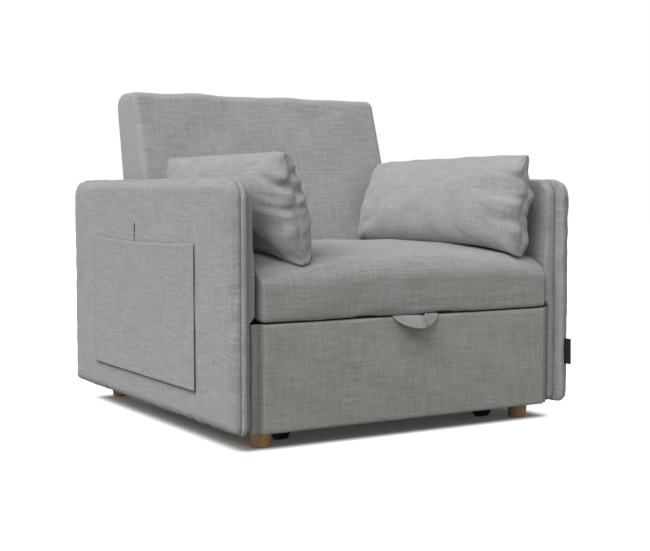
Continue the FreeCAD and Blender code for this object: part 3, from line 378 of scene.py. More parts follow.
def sewn_mesh(name, rows, weave, finish, caps=(True, True)):
    """Closed mesh from rings of points, rows[ring, point, xyz], joined ring to ring.

    weave[ring, point + 1, uv] is the cloth's flat layout in metres, with the last column past the join. Each
    end ring that is capped closes on the mean of its points. The faces are turned outwards by the sign of
    the mesh's volume, the sum of each triangle's corner product over six."""
    rings, count = rows.shape[:2]
    ring, point = np.meshgrid(np.arange(rings - 1), np.arange(count), indexing="ij")
    ring, point = ring.ravel(), point.ravel()
    corners = ((ring, point), (ring, point + 1), (ring + 1, point + 1), (ring + 1, point))
    quads = np.stack([at_ring * count + at_point % count for at_ring, at_point in corners], 1)
    quad_weave = np.stack([weave[corner] for corner in corners], 1)
    places = [rows.reshape(-1, 3)]
    caps_tris, caps_weave = [], []
    around = np.arange(count)
    for end, capped in ((0, caps[0]), (rings - 1, caps[1])):
        if capped:
            centre = rings * count + len(places) - 1
            places.append(rows[end].mean(0)[None])
            a, b = end * count + around, end * count + (around + 1) % count
            tris = np.stack([b, a, np.full(count, centre)], 1)
            middle = np.broadcast_to(weave[end].mean(0), (count, 2))
            layout = np.stack([weave[end, 1:], weave[end, :-1], middle], 1)
            if end:
                tris, layout = tris[:, ::-1], layout[:, ::-1]
            caps_tris.append(tris)
            caps_weave.append(layout)
    points = np.concatenate(places)
    tris = np.concatenate(caps_tris) if caps_tris else np.zeros((0, 3), int)
    halves = np.concatenate([quads[:, [0, 1, 2]], quads[:, [0, 2, 3]], tris])
    a, b, c = points[halves[:, 0]], points[halves[:, 1]], points[halves[:, 2]]
    way = 1
    if np.einsum("ij,ij->i", a, np.cross(b, c)).sum() < 0:
        way = -1
    faces = quads[:, ::way].tolist() + tris[:, ::way].tolist()
    layouts = [layout[:, ::way].reshape(-1, 2) for layout in (quad_weave, *caps_weave)]
    return cloth_object(name, points, faces, np.concatenate(layouts), finish)


def ripple(a, b, wavelength, seed, waves=14):
    """Gentle uneven surface, about one high: plane waves of random direction, phase and length."""
    pick = np.random.default_rng(seed)
    total = np.zeros(np.broadcast(a, b).shape)
    for _ in range(waves):
        turn, phase = pick.uniform(0, 2 * math.pi, 2)
        length = wavelength * pick.uniform(0.7, 1.6)
        total += np.sin(2 * math.pi / length * (a * math.cos(turn) + b * math.sin(turn)) + phase)
    return total * math.sqrt(2.0 / waves)


def rounded_profile(corners, step):
    """Closed side view with rounded corners: points in (y, z), their outward normals, and the distance along.

    Each corner is (y, z, radius). Between the tangent points of neighbouring corners runs a straight line,
    and round each corner an arc. The whole is walked again at even steps of about the given length."""
    corners = np.array(corners, float)
    spot, radius = corners[:, :2], corners[:, 2]
    into = np.roll(spot, 1, 0) - spot
    out = np.roll(spot, -1, 0) - spot
    into /= np.linalg.norm(into, axis=1)[:, None]
    out /= np.linalg.norm(out, axis=1)[:, None]
    half = np.arccos(np.clip((into * out).sum(1), -1, 1)) / 2
    start = spot + into * (radius / np.tan(half))[:, None]
    end = spot + out * (radius / np.tan(half))[:, None]
    middle = into + out
    middle /= np.linalg.norm(middle, axis=1)[:, None]
    centre = spot + middle * (radius / np.sin(half))[:, None]
    share = np.linspace(0, 1, 25)[None, :, None]
    from_arm, to_arm = (start - centre)[:, None], (end - centre)[:, None]
    swing = (math.pi - 2 * half)[:, None, None]
    turned = np.sin((1 - share) * swing) * from_arm + np.sin(share * swing) * to_arm
    arc = centre[:, None] + turned / np.sin(swing)
    line = arc.reshape(-1, 2)
    line = np.concatenate([line, line[:1]])
    gaps = np.linalg.norm(np.diff(line, axis=0), axis=1)
    along = np.concatenate([[0], np.cumsum(gaps)])
    count = int(round(along[-1] / step))
    walk = np.linspace(0, along[-1], count, endpoint=False)
    points = np.stack([np.interp(walk, along, line[:, axis]) for axis in (0, 1)], 1)
    tangent = np.roll(points, -1, 0) - np.roll(points, 1, 0)
    tangent /= np.linalg.norm(tangent, axis=1)[:, None]
    normal = np.stack([tangent[:, 1], -tangent[:, 0]], 1)
    if ((points - points.mean(0)) * normal).sum() < 0:
        normal = -normal
    return points, normal, np.concatenate([walk, along[-1:]])


def cushion_rows(profile, half_width, roll, seed):
    """Rings of a cushion from one side to the other, and their weave layout.

    The side view is drawn in near each side by a quarter circle of the given roll, then closed by rings that
    shrink to the middle. The surface is a little uneven, less so at the sides by the eighth power."""
    points, normal, along = profile
    edge = np.linspace(0, math.pi / 2, 9)
    inner = half_width - roll
    right_x = np.concatenate([np.linspace(0, inner, 46)[1:-1], inner + roll * np.sin(edge)])
    right_inset = np.concatenate([np.zeros(44), roll * (1 - np.cos(edge))])
    x = np.concatenate([-right_x[::-1], [0.0], right_x])
    inset = np.concatenate([right_inset[::-1], [0.0], right_inset])
    share = (x / half_width)[:, None]
    uneven = 0.0011 * ripple(x[:, None], along[None, :-1], 0.16, seed) * (1 - share**8)
    lift = uneven - inset[:, None]
    ring_2d = points[None] + normal[None] * lift[..., None]
    rows = np.concatenate([np.broadcast_to(x[:, None, None], (*lift.shape, 1)), ring_2d], 2)
    centre = points.mean(0)
    ends = []
    for first, order in ((rows[0], 1), (rows[-1], -1)):
        shrink = np.linspace(0.12, 0.94, 12)[::order][:, None, None]
        cap = first[None].repeat(12, 0)
        cap[..., 1:] = cap[..., 1:] * shrink + centre * (1 - shrink)
        ends.append(cap)
    rows = np.concatenate([ends[0], rows, ends[1]])
    steps = np.linalg.norm(np.diff(rows, axis=0), axis=2).mean(1)
    across = np.concatenate([[0], np.cumsum(steps)])
    weave = np.stack(np.broadcast_arrays(across[:, None], along[None]), 2)
    return rows, weave


def back_front_y(z):
    """Y of the backrest's front face at a height: it leans back by its slope."""
    return BACK_FRONT_TOP_Y - (BACK_TOP_Z - z) * BACK_SLOPE


seat_profile = rounded_profile(
    [
        (SEAT_FRONT_Y, SEAT_FOOT_Z, 0.008),
        (back_front_y(SEAT_FOOT_Z) - 0.011, SEAT_FOOT_Z, 0.008),
        (back_front_y(SEAT_TOP_Z) - 0.011, SEAT_TOP_Z, 0.020),
        (SEAT_FRONT_Y + 0.33, SEAT_TOP_Z + 0.005, 2.2),
        (SEAT_FRONT_Y, SEAT_EDGE_Z, 0.058),
    ],
    0.006,
)
rows, weave = cushion_rows(seat_profile, SEAT_HALF_WIDTH, 0.009, 3)
across, y, z = rows[..., 0] / SEAT_HALF_WIDTH, rows[..., 1], rows[..., 2]
z += SEAT_CROWN * (ramp(z, 0.40, 0.03) * (1 - across**2) ** 0.7)
front = ramp(-y, 0.43, 0.04) * ramp(z, 0.292, 0.03)
y -= SEAT_FRONT_BOW * front * (1 - across**6)
fall = ramp(-y, 0.24, 0.22) ** 1.5 * ramp(z, 0.34, 0.08)
z -= SEAT_CORNER_FALL * fall * np.abs(across) ** 2.5
z[z < SEAT_FOOT_Z + SEAT_FLATTENED] = SEAT_FOOT_Z
z -= SEAT_LIP * (ramp(-y, 0.430, 0.03) * ramp(-z, -0.33, 0.03))
seat = sewn_mesh("seat_cushion_cover", rows, weave, linen("seat_linen", (0.405, 0.410, 0.395)))
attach(seat, "base")
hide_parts("seat_cushion")


# Backrest: a deep foam wedge under the same linen, thicker at its foot, with softly rounded edges. Its linen
# is a lighter copy of the seat's, as painted light.
# Its cover is drawn tight over a board, so the front has only a low belly.
BACK_HALF_WIDTH = 0.384
BACK_FOOT_Z = 0.302
REAR_SLOPE = math.tan(math.radians(10.5))
BACK_THICK_TOP = 0.128
BACK_BELLY = 0.009
PANEL_HALF_WIDTH = 0.358
PANEL_FOOT_Z = 0.328
PANEL_TOP_Z = 0.782
PANEL_SINK = 0.012


def back_rear_y(z):
    """Y of the backrest's rear face at a height."""
    return BACK_FRONT_TOP_Y + BACK_THICK_TOP - (BACK_TOP_Z - z) * REAR_SLOPE


back_profile = rounded_profile(
    [
        (back_front_y(BACK_FOOT_Z), BACK_FOOT_Z, 0.030),
        (back_rear_y(BACK_FOOT_Z), BACK_FOOT_Z, 0.024),
        (back_rear_y(BACK_TOP_Z), BACK_TOP_Z, 0.040),
        (back_front_y(BACK_TOP_Z), BACK_TOP_Z, 0.026),
    ],
    0.006,
)
rows, weave = cushion_rows(back_profile, BACK_HALF_WIDTH, 0.016, 8)
x, y, z = rows[..., 0], rows[..., 1], rows[..., 2]
depth = (y - back_front_y(z)) / (back_rear_y(z) - back_front_y(z))
height = (z - BACK_FOOT_Z) / (BACK_TOP_Z - BACK_FOOT_Z)
belly = np.clip(1 - depth * 3, 0, 1) * np.clip(4 * height * (1 - height), 0, 1)
y -= BACK_BELLY * (belly * np.clip(1 - (x / BACK_HALF_WIDTH) ** 4, 0, 1))
sunk = np.clip((depth - 0.9) * 12, 0, 1)
for inside in (PANEL_HALF_WIDTH - np.abs(x), z - PANEL_FOOT_Z, PANEL_TOP_Z - z):
    sunk = sunk * np.clip(inside / 0.008 + 0.5, 0, 1)
y -= PANEL_SINK * sunk
# Painted light: the backrest's linen colour is lighter than the seat's.
back = sewn_mesh("backrest_cover", rows, weave, linen("backrest_linen_painted_light", (0.45, 0.455, 0.448)))
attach(back, "backrest")
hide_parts("backrest_pad")


# Rear panel of the backrest: a thin board under linen, pressed into the cover's rear to close it.
# Its edge is turned in, and its face is a little full with wadding.


def panel_rows(outline, place, edge, thick, fullness, seed):
    """Rings of a padded flat panel, from the middle of its rear to the middle of its face.

    outline is a rounded profile in two coordinates. Rings are drawn in from it, the face rising over its edge
    by a quarter circle and then by fullness times the sine of its share inwards. place turns (a, b, height)
    into space."""
    points = outline[0]
    low, high = points.min(0), points.max(0)
    limit = (high - low).min() / 2
    turn = np.linspace(0, math.pi / 2, 7)
    deepest = limit * 0.96
    inwards = np.linspace(0.02, 1, 22)
    hidden = [deepest, limit * 0.5, edge, 0.001]
    inset = np.concatenate([hidden, edge * (1 - np.cos(turn)), edge + (deepest - edge) * inwards])
    face_rise = thick + fullness * np.sin(inwards * math.pi / 2)
    rise = np.concatenate([np.zeros(4), (thick - edge) + edge * np.sin(turn), face_rise])
    half = (high - low) / 2
    middle = (high + low) / 2
    shrink = 1 - inset[:, None, None] / limit
    core = half - limit
    bone = middle + np.clip(points - middle, -core, core)
    ring = bone[None] + (points - bone)[None] * shrink
    height = rise[:, None] + 0.0006 * ripple(ring[..., 0], ring[..., 1], 0.11, seed) * (rise[:, None] > thick)
    rows = place(ring[..., 0], ring[..., 1], height)
    weave = np.concatenate([ring, ring[:, :1]], 1)
    return rows, weave


rear_outline = rounded_profile(
    [(-0.357, 0.329, 0.012), (0.357, 0.329, 0.012), (0.357, 0.781, 0.012), (-0.357, 0.781, 0.012)], 0.007
)
rows, weave = panel_rows(
    rear_outline, lambda a, b, h: np.stack([a, back_rear_y(b) - 0.0075 + h, b], 2), 0.004, 0.006, 0.003, 12
)
rear_panel = sewn_mesh("backrest_rear_cover", rows, weave, linen("rear_panel_linen", (0.39, 0.395, 0.388)))
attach(rear_panel, "backrest")
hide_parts("backrest_rear_panel")


# Arms: each is two wadded panels with a thick welt band between them that runs right round the arm.
# The outer panel rolls over broadly at its front and rear edges and more tightly along its top. The inner
# panel is set back behind the band, and bulges inwards above the drawer.
ARM_FRONT_Y = -0.488
ARM_REAR_Y = 0.500
ARM_TOP_Z = 0.605
ARM_FOOT_Z = 0.042
ARM_TOP_RADIUS = 0.046
ARM_FOOT_RADIUS = 0.016
ARM_INNER_X = 0.426
BAND_INNER_X = 0.445
BAND_OUTER_X = 0.458
ARM_OUTER_X = 0.490
BAND_WIDTH = 0.0138
BAND_DEPTH = 0.052
BAND_WEAVE_STEP = 0.0031
BULGE_ABOVE_DRAWER = 0.007
BULGE_BESIDE_SEAT = 0.005


def arm_profile(grow, setback=0.0):
    """Side view of an arm, grown outwards all round, with its front set back."""
    front, rear = ARM_FRONT_Y - grow + setback, ARM_REAR_Y + grow
    foot, top = ARM_FOOT_Z - grow, ARM_TOP_Z + grow
    return rounded_profile(
        [
            (front, foot, ARM_FOOT_RADIUS + grow),
            (rear, foot, ARM_FOOT_RADIUS + grow),
            (rear, top, ARM_TOP_RADIUS + grow),
            (front, top, ARM_TOP_RADIUS + grow),
        ],
        0.006,
    )


def arm_pad_rows(near_x, far_x, reach_front, reach_top, squareness, dome, seam, setback, seed):
    """Rings of an arm panel, from the middle of its hidden side, round its roll, to the middle of its face.

    The roll is a quarter superellipse, as deep as the panel less its dome and as wide as its reach, which
    grows from the top edge to the front with the square of the normal's Y. The face swells by its dome along
    a parabola. A narrow valley beside the band fades with the exponential of the turn, and short puckers
    run in from the seam. The weave lies flat on the face, and on the roll it is walked outwards."""
    points, normal, along = arm_profile(-seam, setback)
    reach = reach_top + (reach_front - reach_top) * normal[:, 0] ** 2
    depth = far_x - near_x
    low, high = points.min(0), points.max(0)
    limit = (high - low).min() / 2
    turn = np.linspace(0, math.pi / 2, 19)[:, None]
    share = np.linspace(0.02, 1, 26)[:, None] ** 1.3
    valley = 0.8 * seam * np.exp(-turn * 9)
    pucker = 0.0010 * ripple(along[None, :-1], turn * 0.02, 0.05, seed) * np.sin(turn * 2)
    roll_inset = reach * (1 - np.clip(np.cos(turn), 0, 1) ** (2 / squareness)) + valley + pucker
    face_inset = reach + (limit * 0.97 - reach) * share
    spot_y, spot_z = (points[None, :, axis] * (1 - share) for axis in (0, 1))
    uneven = 0.0009 * ripple(spot_y, spot_z, 0.2, seed + 1)
    face_x = depth - dome * (1 - share) ** 2 + uneven * share
    roll_x = np.broadcast_to((depth - dome) * np.sin(turn) ** (2 / squareness), roll_inset.shape)
    back_inset = np.broadcast_to([[limit * 0.97], [limit * 0.5], [0.03], [0.004]], (4, roll_inset.shape[1]))
    inset = np.concatenate([back_inset, roll_inset, face_inset])
    x = np.concatenate([np.zeros(back_inset.shape), roll_x, face_x])
    half, middle = (high - low) / 2, (high + low) / 2
    core = half - limit
    bone = middle + np.clip(points - middle, -core, core)
    shrink = (1 - inset / limit)[..., None]
    ring = bone[None] + (points - bone)[None] * shrink
    rows = np.concatenate([(near_x + x)[..., None], ring], 2)
    steps = np.linalg.norm(np.diff(rows, axis=0), axis=2)
    travel = np.concatenate([0 * steps[:1], np.cumsum(steps, 0)])
    travel -= travel[4:5]
    roll_end = len(back_inset) + len(turn) - 1
    outward = np.clip(travel[roll_end] - travel, 0, None)[..., None]
    layout = np.where(outward > 0, ring[roll_end][None] + normal[None] * outward, ring)
    weave = np.concatenate([layout, layout[:, :1]], 1)
    return rows, weave


def band_rows(seed):
    """Rings of the welt band: a bar in section, carried round the arm's side view.

    The section is a superellipse, its width and depth following the cosine and sine to the power 0.45, and
    it reaches in past the inner panel's setback. Its outer face is a little lumpy."""
    points, normal, along = arm_profile(0.0)
    turn = np.linspace(0, 2 * math.pi, 28, endpoint=False)
    across = np.sign(np.cos(turn)) * np.abs(np.cos(turn)) ** 0.45
    down = (1 - np.sign(np.sin(turn)) * np.abs(np.sin(turn)) ** 0.45) / 2
    middle_x = (BAND_INNER_X + BAND_OUTER_X) / 2
    lump = 0.0004 * ripple(along[None, :-1], turn[:, None] * 0.01, 0.06, seed)
    inset = (down * BAND_DEPTH)[:, None] + lump * (down < 0.4)[:, None]
    ring = points[None] - normal[None] * inset[..., None]
    x = np.broadcast_to((middle_x + across * BAND_WIDTH / 2)[:, None, None], (*inset.shape, 1))
    rows = np.concatenate([x, ring], 2)
    walk = np.arange(len(turn)) * BAND_WEAVE_STEP
    weave = np.stack(np.broadcast_arrays(walk[:, None], along[None]), 2)
    rows = np.concatenate([rows, rows[:1]])
    weave = np.concatenate([weave, weave[-1:] + (walk[1], 0)])
    return rows, weave


# The inner panels' linen is darker on the left and lighter on the right: painted shade on the left arm's
# set-back front strip, painted light on the right arm's inner face.
for side, name, inner_painted_light_colour in ((-1, "left", (0.40, 0.405, 0.393)), (1, "right", (0.44, 0.445, 0.435))):
    mirror = np.array([side, 1, 1])
    finish = linen(name + "_arm_linen", (0.405, 0.410, 0.404))
    rows, weave = arm_pad_rows(
        BAND_OUTER_X, ARM_OUTER_X, reach_front=0.046, reach_top=0.026, squareness=2.0,
        dome=0.004, seam=0.0036, setback=0.0, seed=20 + side,
    )
    outer_pad = sewn_mesh(name + "_arm_outer_cover", rows * mirror, weave, finish)
    finish = linen(name + "_inner_painted_light_linen", inner_painted_light_colour)
    rows, weave = arm_pad_rows(
        BAND_INNER_X, ARM_INNER_X, reach_front=0.008, reach_top=0.014, squareness=5.0,
        dome=0.001, seam=0.0015, setback=0.024, seed=30 + side,
    )
    above_drawer = ramp(rows[..., 2], 0.286, 0.014)
    beside_seat = 1 - ramp(rows[..., 2], 0.40, 0.06)
    bulge = (BULGE_ABOVE_DRAWER + BULGE_BESIDE_SEAT * beside_seat) * above_drawer
    rows[..., 0] -= bulge * (BAND_INNER_X - rows[..., 0]) / (BAND_INNER_X - ARM_INNER_X)
    inner_pad = sewn_mesh(name + "_arm_inner_cover", rows * mirror, weave, finish)
    finish = linen(name + "_band_linen", (0.43, 0.435, 0.43))
    rows, weave = band_rows(40 + side)
    band = sewn_mesh(name + "_arm_band_cover", rows * mirror, weave, finish, (False, False))
    for piece, node in ((outer_pad, "_arm_outer_pad"), (inner_pad, "_arm_inner_pad"), (band, "_arm_band")):
        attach(piece, "base")
        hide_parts(name + node)


# Side pockets: one layer of the same linen, hemmed along its top and sewn to the left arm on three sides.
# The wide pocket hangs a little open, and a narrow one for a remote control stands up behind it.


def sheet_mesh(name, middle, normal, thick, weave, finish):
    """Closed cloth from a grid of points, middle[row, column, xyz], with a face on each side of it.

    The two faces share the grid's border. Inside it they stand half the thickness off along the normal,
    less near the border by a quarter circle over three cells."""
    rows, columns = middle.shape[:2]
    row, column = np.meshgrid(np.arange(rows), np.arange(columns), indexing="ij")
    edge = np.minimum(np.minimum(row, rows - 1 - row), np.minimum(column, columns - 1 - column))
    bulge = np.sqrt(1 - (1 - np.clip(edge / 3, 0, 1)) ** 2)[..., None] * thick / 2
    outer = middle + normal * bulge
    inner = middle - normal * bulge
    outer_index = np.arange(rows * columns).reshape(rows, columns)
    inner_index = outer_index.copy()
    inside = edge > 0
    inner_index[inside] = rows * columns + np.arange(inside.sum())
    points = np.concatenate([outer.reshape(-1, 3), inner[inside]])
    faces, layouts = [], []
    for index, turn in ((outer_index, 1), (inner_index, -1)):
        faces.append(cell_corners(index).reshape(-1, 4)[:, ::turn])
        layouts.append(cell_corners(weave).reshape(-1, 4, 2)[:, ::turn].reshape(-1, 2))
    quads, layout = np.concatenate(faces), np.concatenate(layouts)
    a, b, c, d = (points[quads[:, corner]] for corner in range(4))
    if (np.einsum("ij,ij->i", a, np.cross(b, c)) + np.einsum("ij,ij->i", a, np.cross(c, d))).sum() < 0:
        quads = quads[:, ::-1]
        layout = layout.reshape(-1, 4, 2)[:, ::-1].reshape(-1, 2)
    return cloth_object(name, points, quads.tolist(), layout, finish)


pocket_linen = linen("pocket_linen", (0.405, 0.410, 0.404))


def pocket_sheet(name, front_y, rear_y, foot_z, top_z, lie, open_by, sag, seed):
    """Pocket cloth on the outer face of the left arm.

    Its distance off the arm is the lie at the seams, plus a bow that grows towards the open top and falls to
    nothing at the sides by a sine. The top edge sags by a power of the sine, and a hem stands proud."""
    along = np.linspace(0, 1, 156)[None, :]
    up = np.linspace(0, 1, 86)[:, None]
    y = front_y + (rear_y - front_y) * along + 0 * up
    droop = sag * np.sin(math.pi * along) ** 1.2 * up**3
    z = foot_z + (top_z - foot_z) * up - droop
    bow = open_by * np.sin(math.pi * along) ** 0.6 * up**1.5
    hem = 0.0006 * bell(up, 0.985, 0.010)
    seams = 0.0014 * np.exp(-(((1 - along) * 30) ** 2))
    uneven = 0.0006 * ripple(y, z, 0.13, seed) * np.sin(math.pi * along) * up
    x = -(ARM_OUTER_X + lie + bow + hem - seams + uneven)
    middle = np.stack([x, y, z], 2)
    return sheet_mesh(name, middle, np.array([-1.0, 0.0, 0.0]), 0.0016, middle[..., 1:], pocket_linen)


pocket = pocket_sheet(
    "side_pocket_cloth", front_y=-0.316, rear_y=0.304, foot_z=0.121, top_z=0.458,
    lie=0.0022, open_by=0.0036, sag=0.007, seed=51,
)
small_pocket = pocket_sheet(
    "small_pocket_cloth", front_y=0.032, rear_y=0.172, foot_z=0.330, top_z=0.498,
    lie=0.0010, open_by=0.0, sag=0.001, seed=52,
)
pockets = ((pocket, "side_pocket", (0.620, 0.337)), (small_pocket, "small_pocket", (0.140, 0.168)))
for piece, node, size in pockets:
    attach(piece, "base")
    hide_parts(node)


# Side tab: a folded scrap of black tape caught in the seam beside the right arm's band.
# It is bare on both faces and stands forward of the arm.
TAB_ROOT_Y = -0.482
TAB_ROOT_X = 0.4591
TAB_FOOT_Z = 0.139

tape, tree, shader = material("black_tape", 0.75)
where = add_node(tree, "UVMap", uv_map="weave")
ribs = {"Vector": where.outputs[0], "Scale": 420.0, "Distortion": 1.5}
rib = add_node(tree, "TexWave", ribs).outputs["Fac"]
threads = colour_mix(tree, rib, (0.010, 0.010, 0.011, 1), (0.026, 0.026, 0.028, 1))
raise_rib = add_node(tree, "Bump", {"Height": rib, "Distance": 0.0004})
join(tree, shader, {"Base Color": threads, "Normal": raise_rib.outputs[0]})
out = np.linspace(0, 1, 14)[None, :]
up = np.linspace(0, 1, 26)[:, None]
tab_y = TAB_ROOT_Y - 0.024 * out * np.ones_like(up)
tab_x = TAB_ROOT_X + 0.0035 * out**2 * (1 - 0.3 * up)
tab_z = TAB_FOOT_Z + 0.065 * up + 0.001 * out * np.sin(up * 3)
middle = np.stack([tab_x, tab_y, tab_z], 2)
tab = sheet_mesh("side_tab_tape", middle, np.array([1.0, 0.15, 0.0]), 0.0016, middle[..., 1:], tape)
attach(tab, "base")
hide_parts("side_tab")


# Drawer front: wadded board under linen. The panel stands forward on short side faces, and behind each
# of them a narrow corded flange runs down. Its top and bottom edges are tight.
DRAWER_FRONT_Y = -0.478
DRAWER_PAD_REAR_Y = -0.454
DRAWER_FOOT_Z = 0.040
DRAWER_TOP_Z = 0.283
DRAWER_HALF_WIDTH = 0.422
FLANGE_WIDTH = 0.0185
FLANGE_BACK = 0.017
FLANGE_GROOVE = 0.0035
SIDE_FACE = 0.0006

points, _, along = rounded_profile(
    [
        (DRAWER_FRONT_Y, DRAWER_FOOT_Z, 0.006),
        (DRAWER_PAD_REAR_Y, DRAWER_FOOT_Z, 0.003),
        (DRAWER_PAD_REAR_Y, DRAWER_TOP_Z, 0.003),
        (DRAWER_FRONT_Y, DRAWER_TOP_Z, 0.006),
    ],
    0.0035,
)
panel_half = DRAWER_HALF_WIDTH - FLANGE_WIDTH - FLANGE_GROOVE
right_x = np.concatenate(
    [
        np.linspace(0, panel_half - 0.03, 60),
        np.linspace(panel_half - 0.03, panel_half, 16)[1:],
        np.linspace(panel_half, panel_half + SIDE_FACE, 12)[1:],
        np.linspace(panel_half + SIDE_FACE, panel_half + FLANGE_GROOVE, 6)[1:],
        np.linspace(panel_half + FLANGE_GROOVE, DRAWER_HALF_WIDTH, 16)[1:],
    ]
)
x = np.concatenate([-right_x[:0:-1], right_x])
distance = panel_half - np.abs(x)
side_roll = 0.0030 * (1 - np.clip(distance / 0.007, 0, 1)) ** 2
groove = np.clip(-distance / SIDE_FACE, 0, 1) * np.clip((distance + FLANGE_GROOVE) / SIDE_FACE, 0, 1)
across_flange = np.clip((np.abs(x) - DRAWER_HALF_WIDTH + FLANGE_WIDTH / 2) / (FLANGE_WIDTH / 2), -1, 1)
flange_drop = FLANGE_BACK + 0.0040 * (1 - np.sqrt(np.clip(1 - across_flange**2, 0, 1)))
on_flange = -distance > FLANGE_GROOVE - 1e-9
drop = np.where(on_flange, flange_drop, side_roll + (FLANGE_BACK + 0.001) * groove)
frontness = np.clip((DRAWER_PAD_REAR_Y - points[:, 0]) / (DRAWER_PAD_REAR_Y - DRAWER_FRONT_Y), 0, 1)
height = (points[:, 1] - DRAWER_FOOT_Z) / (DRAWER_TOP_Z - DRAWER_FOOT_Z)
full = 0.0035 * np.clip(distance / 0.2, 0, 1)[:, None] ** 0.5 * (4 * height * (1 - height))[None]
uneven = 0.0007 * ripple(x[:, None], points[None, :, 1], 0.12, 61) * np.clip(distance / 0.05, 0, 1)[:, None]
y = points[None, :, 0] + (drop[:, None] - full + uneven) * frontness[None]
rows = np.stack(np.broadcast_arrays(x[:, None], y, points[None, :, 1]), 2)
across = np.concatenate([[0], np.cumsum(np.hypot(np.diff(x), np.diff(drop)))])
weave = np.stack(np.broadcast_arrays(across[:, None], along[None]), 2)
drawer_cover = sewn_mesh("drawer_front_upholstery", rows, weave, linen("drawer_linen", (0.405, 0.410, 0.388)))
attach(drawer_cover, "drawer")
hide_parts("drawer_front_cover")


# Pull loop: a strap of folded linen whose two tails are sewn to the drawer front's top edge.
# The strap swings out over the front and hangs down in a half disc, with a crease where its right half
# turns under.
LOOP_X = 0.004
LOOP_ROOT_Z = 0.2852
LOOP_WIDTH = 0.038

turn = np.linspace(0, math.pi, 90)[:, None]
over = np.linspace(0, 1, 24)[None, :]
fold = ramp(turn / math.pi, 0.52, 0.12)
fold = fold * fold * (3 - 2 * fold)
swing = np.sin(turn)
dent = 0.0065 * bell(turn / math.pi, 0.62, 0.06)
outer_edge = np.stack(
    [
        LOOP_X - 0.065 * np.cos(turn) - 0.004 * fold * swing,
        -0.4775 - 0.034 * swing * (1 - 0.62 * fold) - 0.004 * fold * swing,
        LOOP_ROOT_Z - 0.030 * swing**1.1 - 0.003 * fold * swing,
    ],
    2,
)
inner_edge = np.stack(
    [
        LOOP_X - 0.028 * np.cos(turn) + 0.012 * fold * swing,
        -0.4795 - 0.0035 * swing * (1 - fold),
        LOOP_ROOT_Z + 0.001 * swing + 0.004 * fold * swing - dent,
    ],
    2,
)
belly = 0.0035 * np.sin(math.pi * over)[..., None] * (swing * (1 - 0.3 * fold))[..., None]
crease = (bell(turn / math.pi, 0.60, 0.03) * over)[..., None]
bend = belly * np.array([0, -0.7, 0.7]) + 0.0012 * crease * np.array([0, -1, 0.4])
strap = outer_edge * (1 - over[..., None]) + inner_edge * over[..., None] + bend
tail = np.linspace(1, 0, 14)[:-1, None, None] * np.array([0, 0.028, 0])
strap = np.concatenate([strap[:1] + tail, strap, strap[-1:] + tail[::-1]])
du, dv = np.gradient(strap, axis=0), np.gradient(strap, axis=1)
strap_normal = np.cross(du, dv)
strap_normal /= np.linalg.norm(strap_normal, axis=2)[..., None]
walk = np.concatenate([[0], np.cumsum(np.linalg.norm(np.diff(strap[:, 11], axis=0), axis=1))])
weave = np.stack(np.broadcast_arrays(walk[:, None], LOOP_WIDTH * over), 2)
# Painted shade: the loop's linen is a darker copy of the chair's linen, for the shade the hanging strap sits
# in.
loop_linen_painted_shade = linen("loop_linen_painted_shade", (0.36, 0.365, 0.358))
loop = sheet_mesh("pull_loop_strap", strap, strap_normal, 0.0028, weave, loop_linen_painted_shade)
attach(loop, "drawer")
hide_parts("pull_loop")


# Bed cushion: the hidden length of the bed, a plain foam block in the same linen, on its board in the
# drawer. It has a low crown and rounded edges.
bed_profile = rounded_profile(
    [
        (-0.411, 0.1345, 0.010),
        (0.087, 0.1345, 0.010),
        (0.087, 0.226, 0.022),
        (-0.162, 0.230, 1.6),
        (-0.411, 0.226, 0.022),
    ],
    0.007,
)
rows, weave = cushion_rows(bed_profile, 0.350, 0.018, 71)
bed = sewn_mesh("bed_cushion_cover", rows, weave, linen("bed_linen", (0.36, 0.365, 0.36)))
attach(bed, "drawer")
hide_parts("bed_cushion")


# Pillows: two loose cushions of the same linen, each two panels sewn round their edge and stuffed full.
# The stuffing is blown in by a cloth simulation, so the seams pucker and the corners draw out as when sewn.
PILLOW_LENGTH = 0.622
PILLOW_HEIGHT = 0.236
PILLOW_THICK = 0.150
PILLOW_CELL = 0.0055
PILLOW_DIP = -0.3
FRONT_HANG = 0.030
STUFFING = {
    "quality": 8,
    "mass": 0.2,
    "tension_stiffness": 30,
    "compression_stiffness": 30,
    "shear_stiffness": 10,
    "bending_stiffness": 1.2,
    "air_damping": 4,
    "uniform_pressure_force": 6.0,
}


def even_arc(reach, half, power, count):
    """Points spaced evenly along one arm of a superellipse, from tip to tip: place, fullness and arm length.

    The arm is (place / reach)^power + (fullness / half)^power = 1."""
    angle = np.linspace(0, math.pi, 3001)
    place = -np.sign(np.cos(angle)) * np.abs(np.cos(angle)) ** (2 / power) * reach
    full = np.sin(angle).clip(0, 1) ** (2 / power) * half
    walk = np.concatenate([[0], np.cumsum(np.hypot(np.diff(place), np.diff(full)))])
    even = np.linspace(0, walk[-1], count)
    return np.interp(even, walk, place), np.interp(even, walk, full) / half, walk[-1]


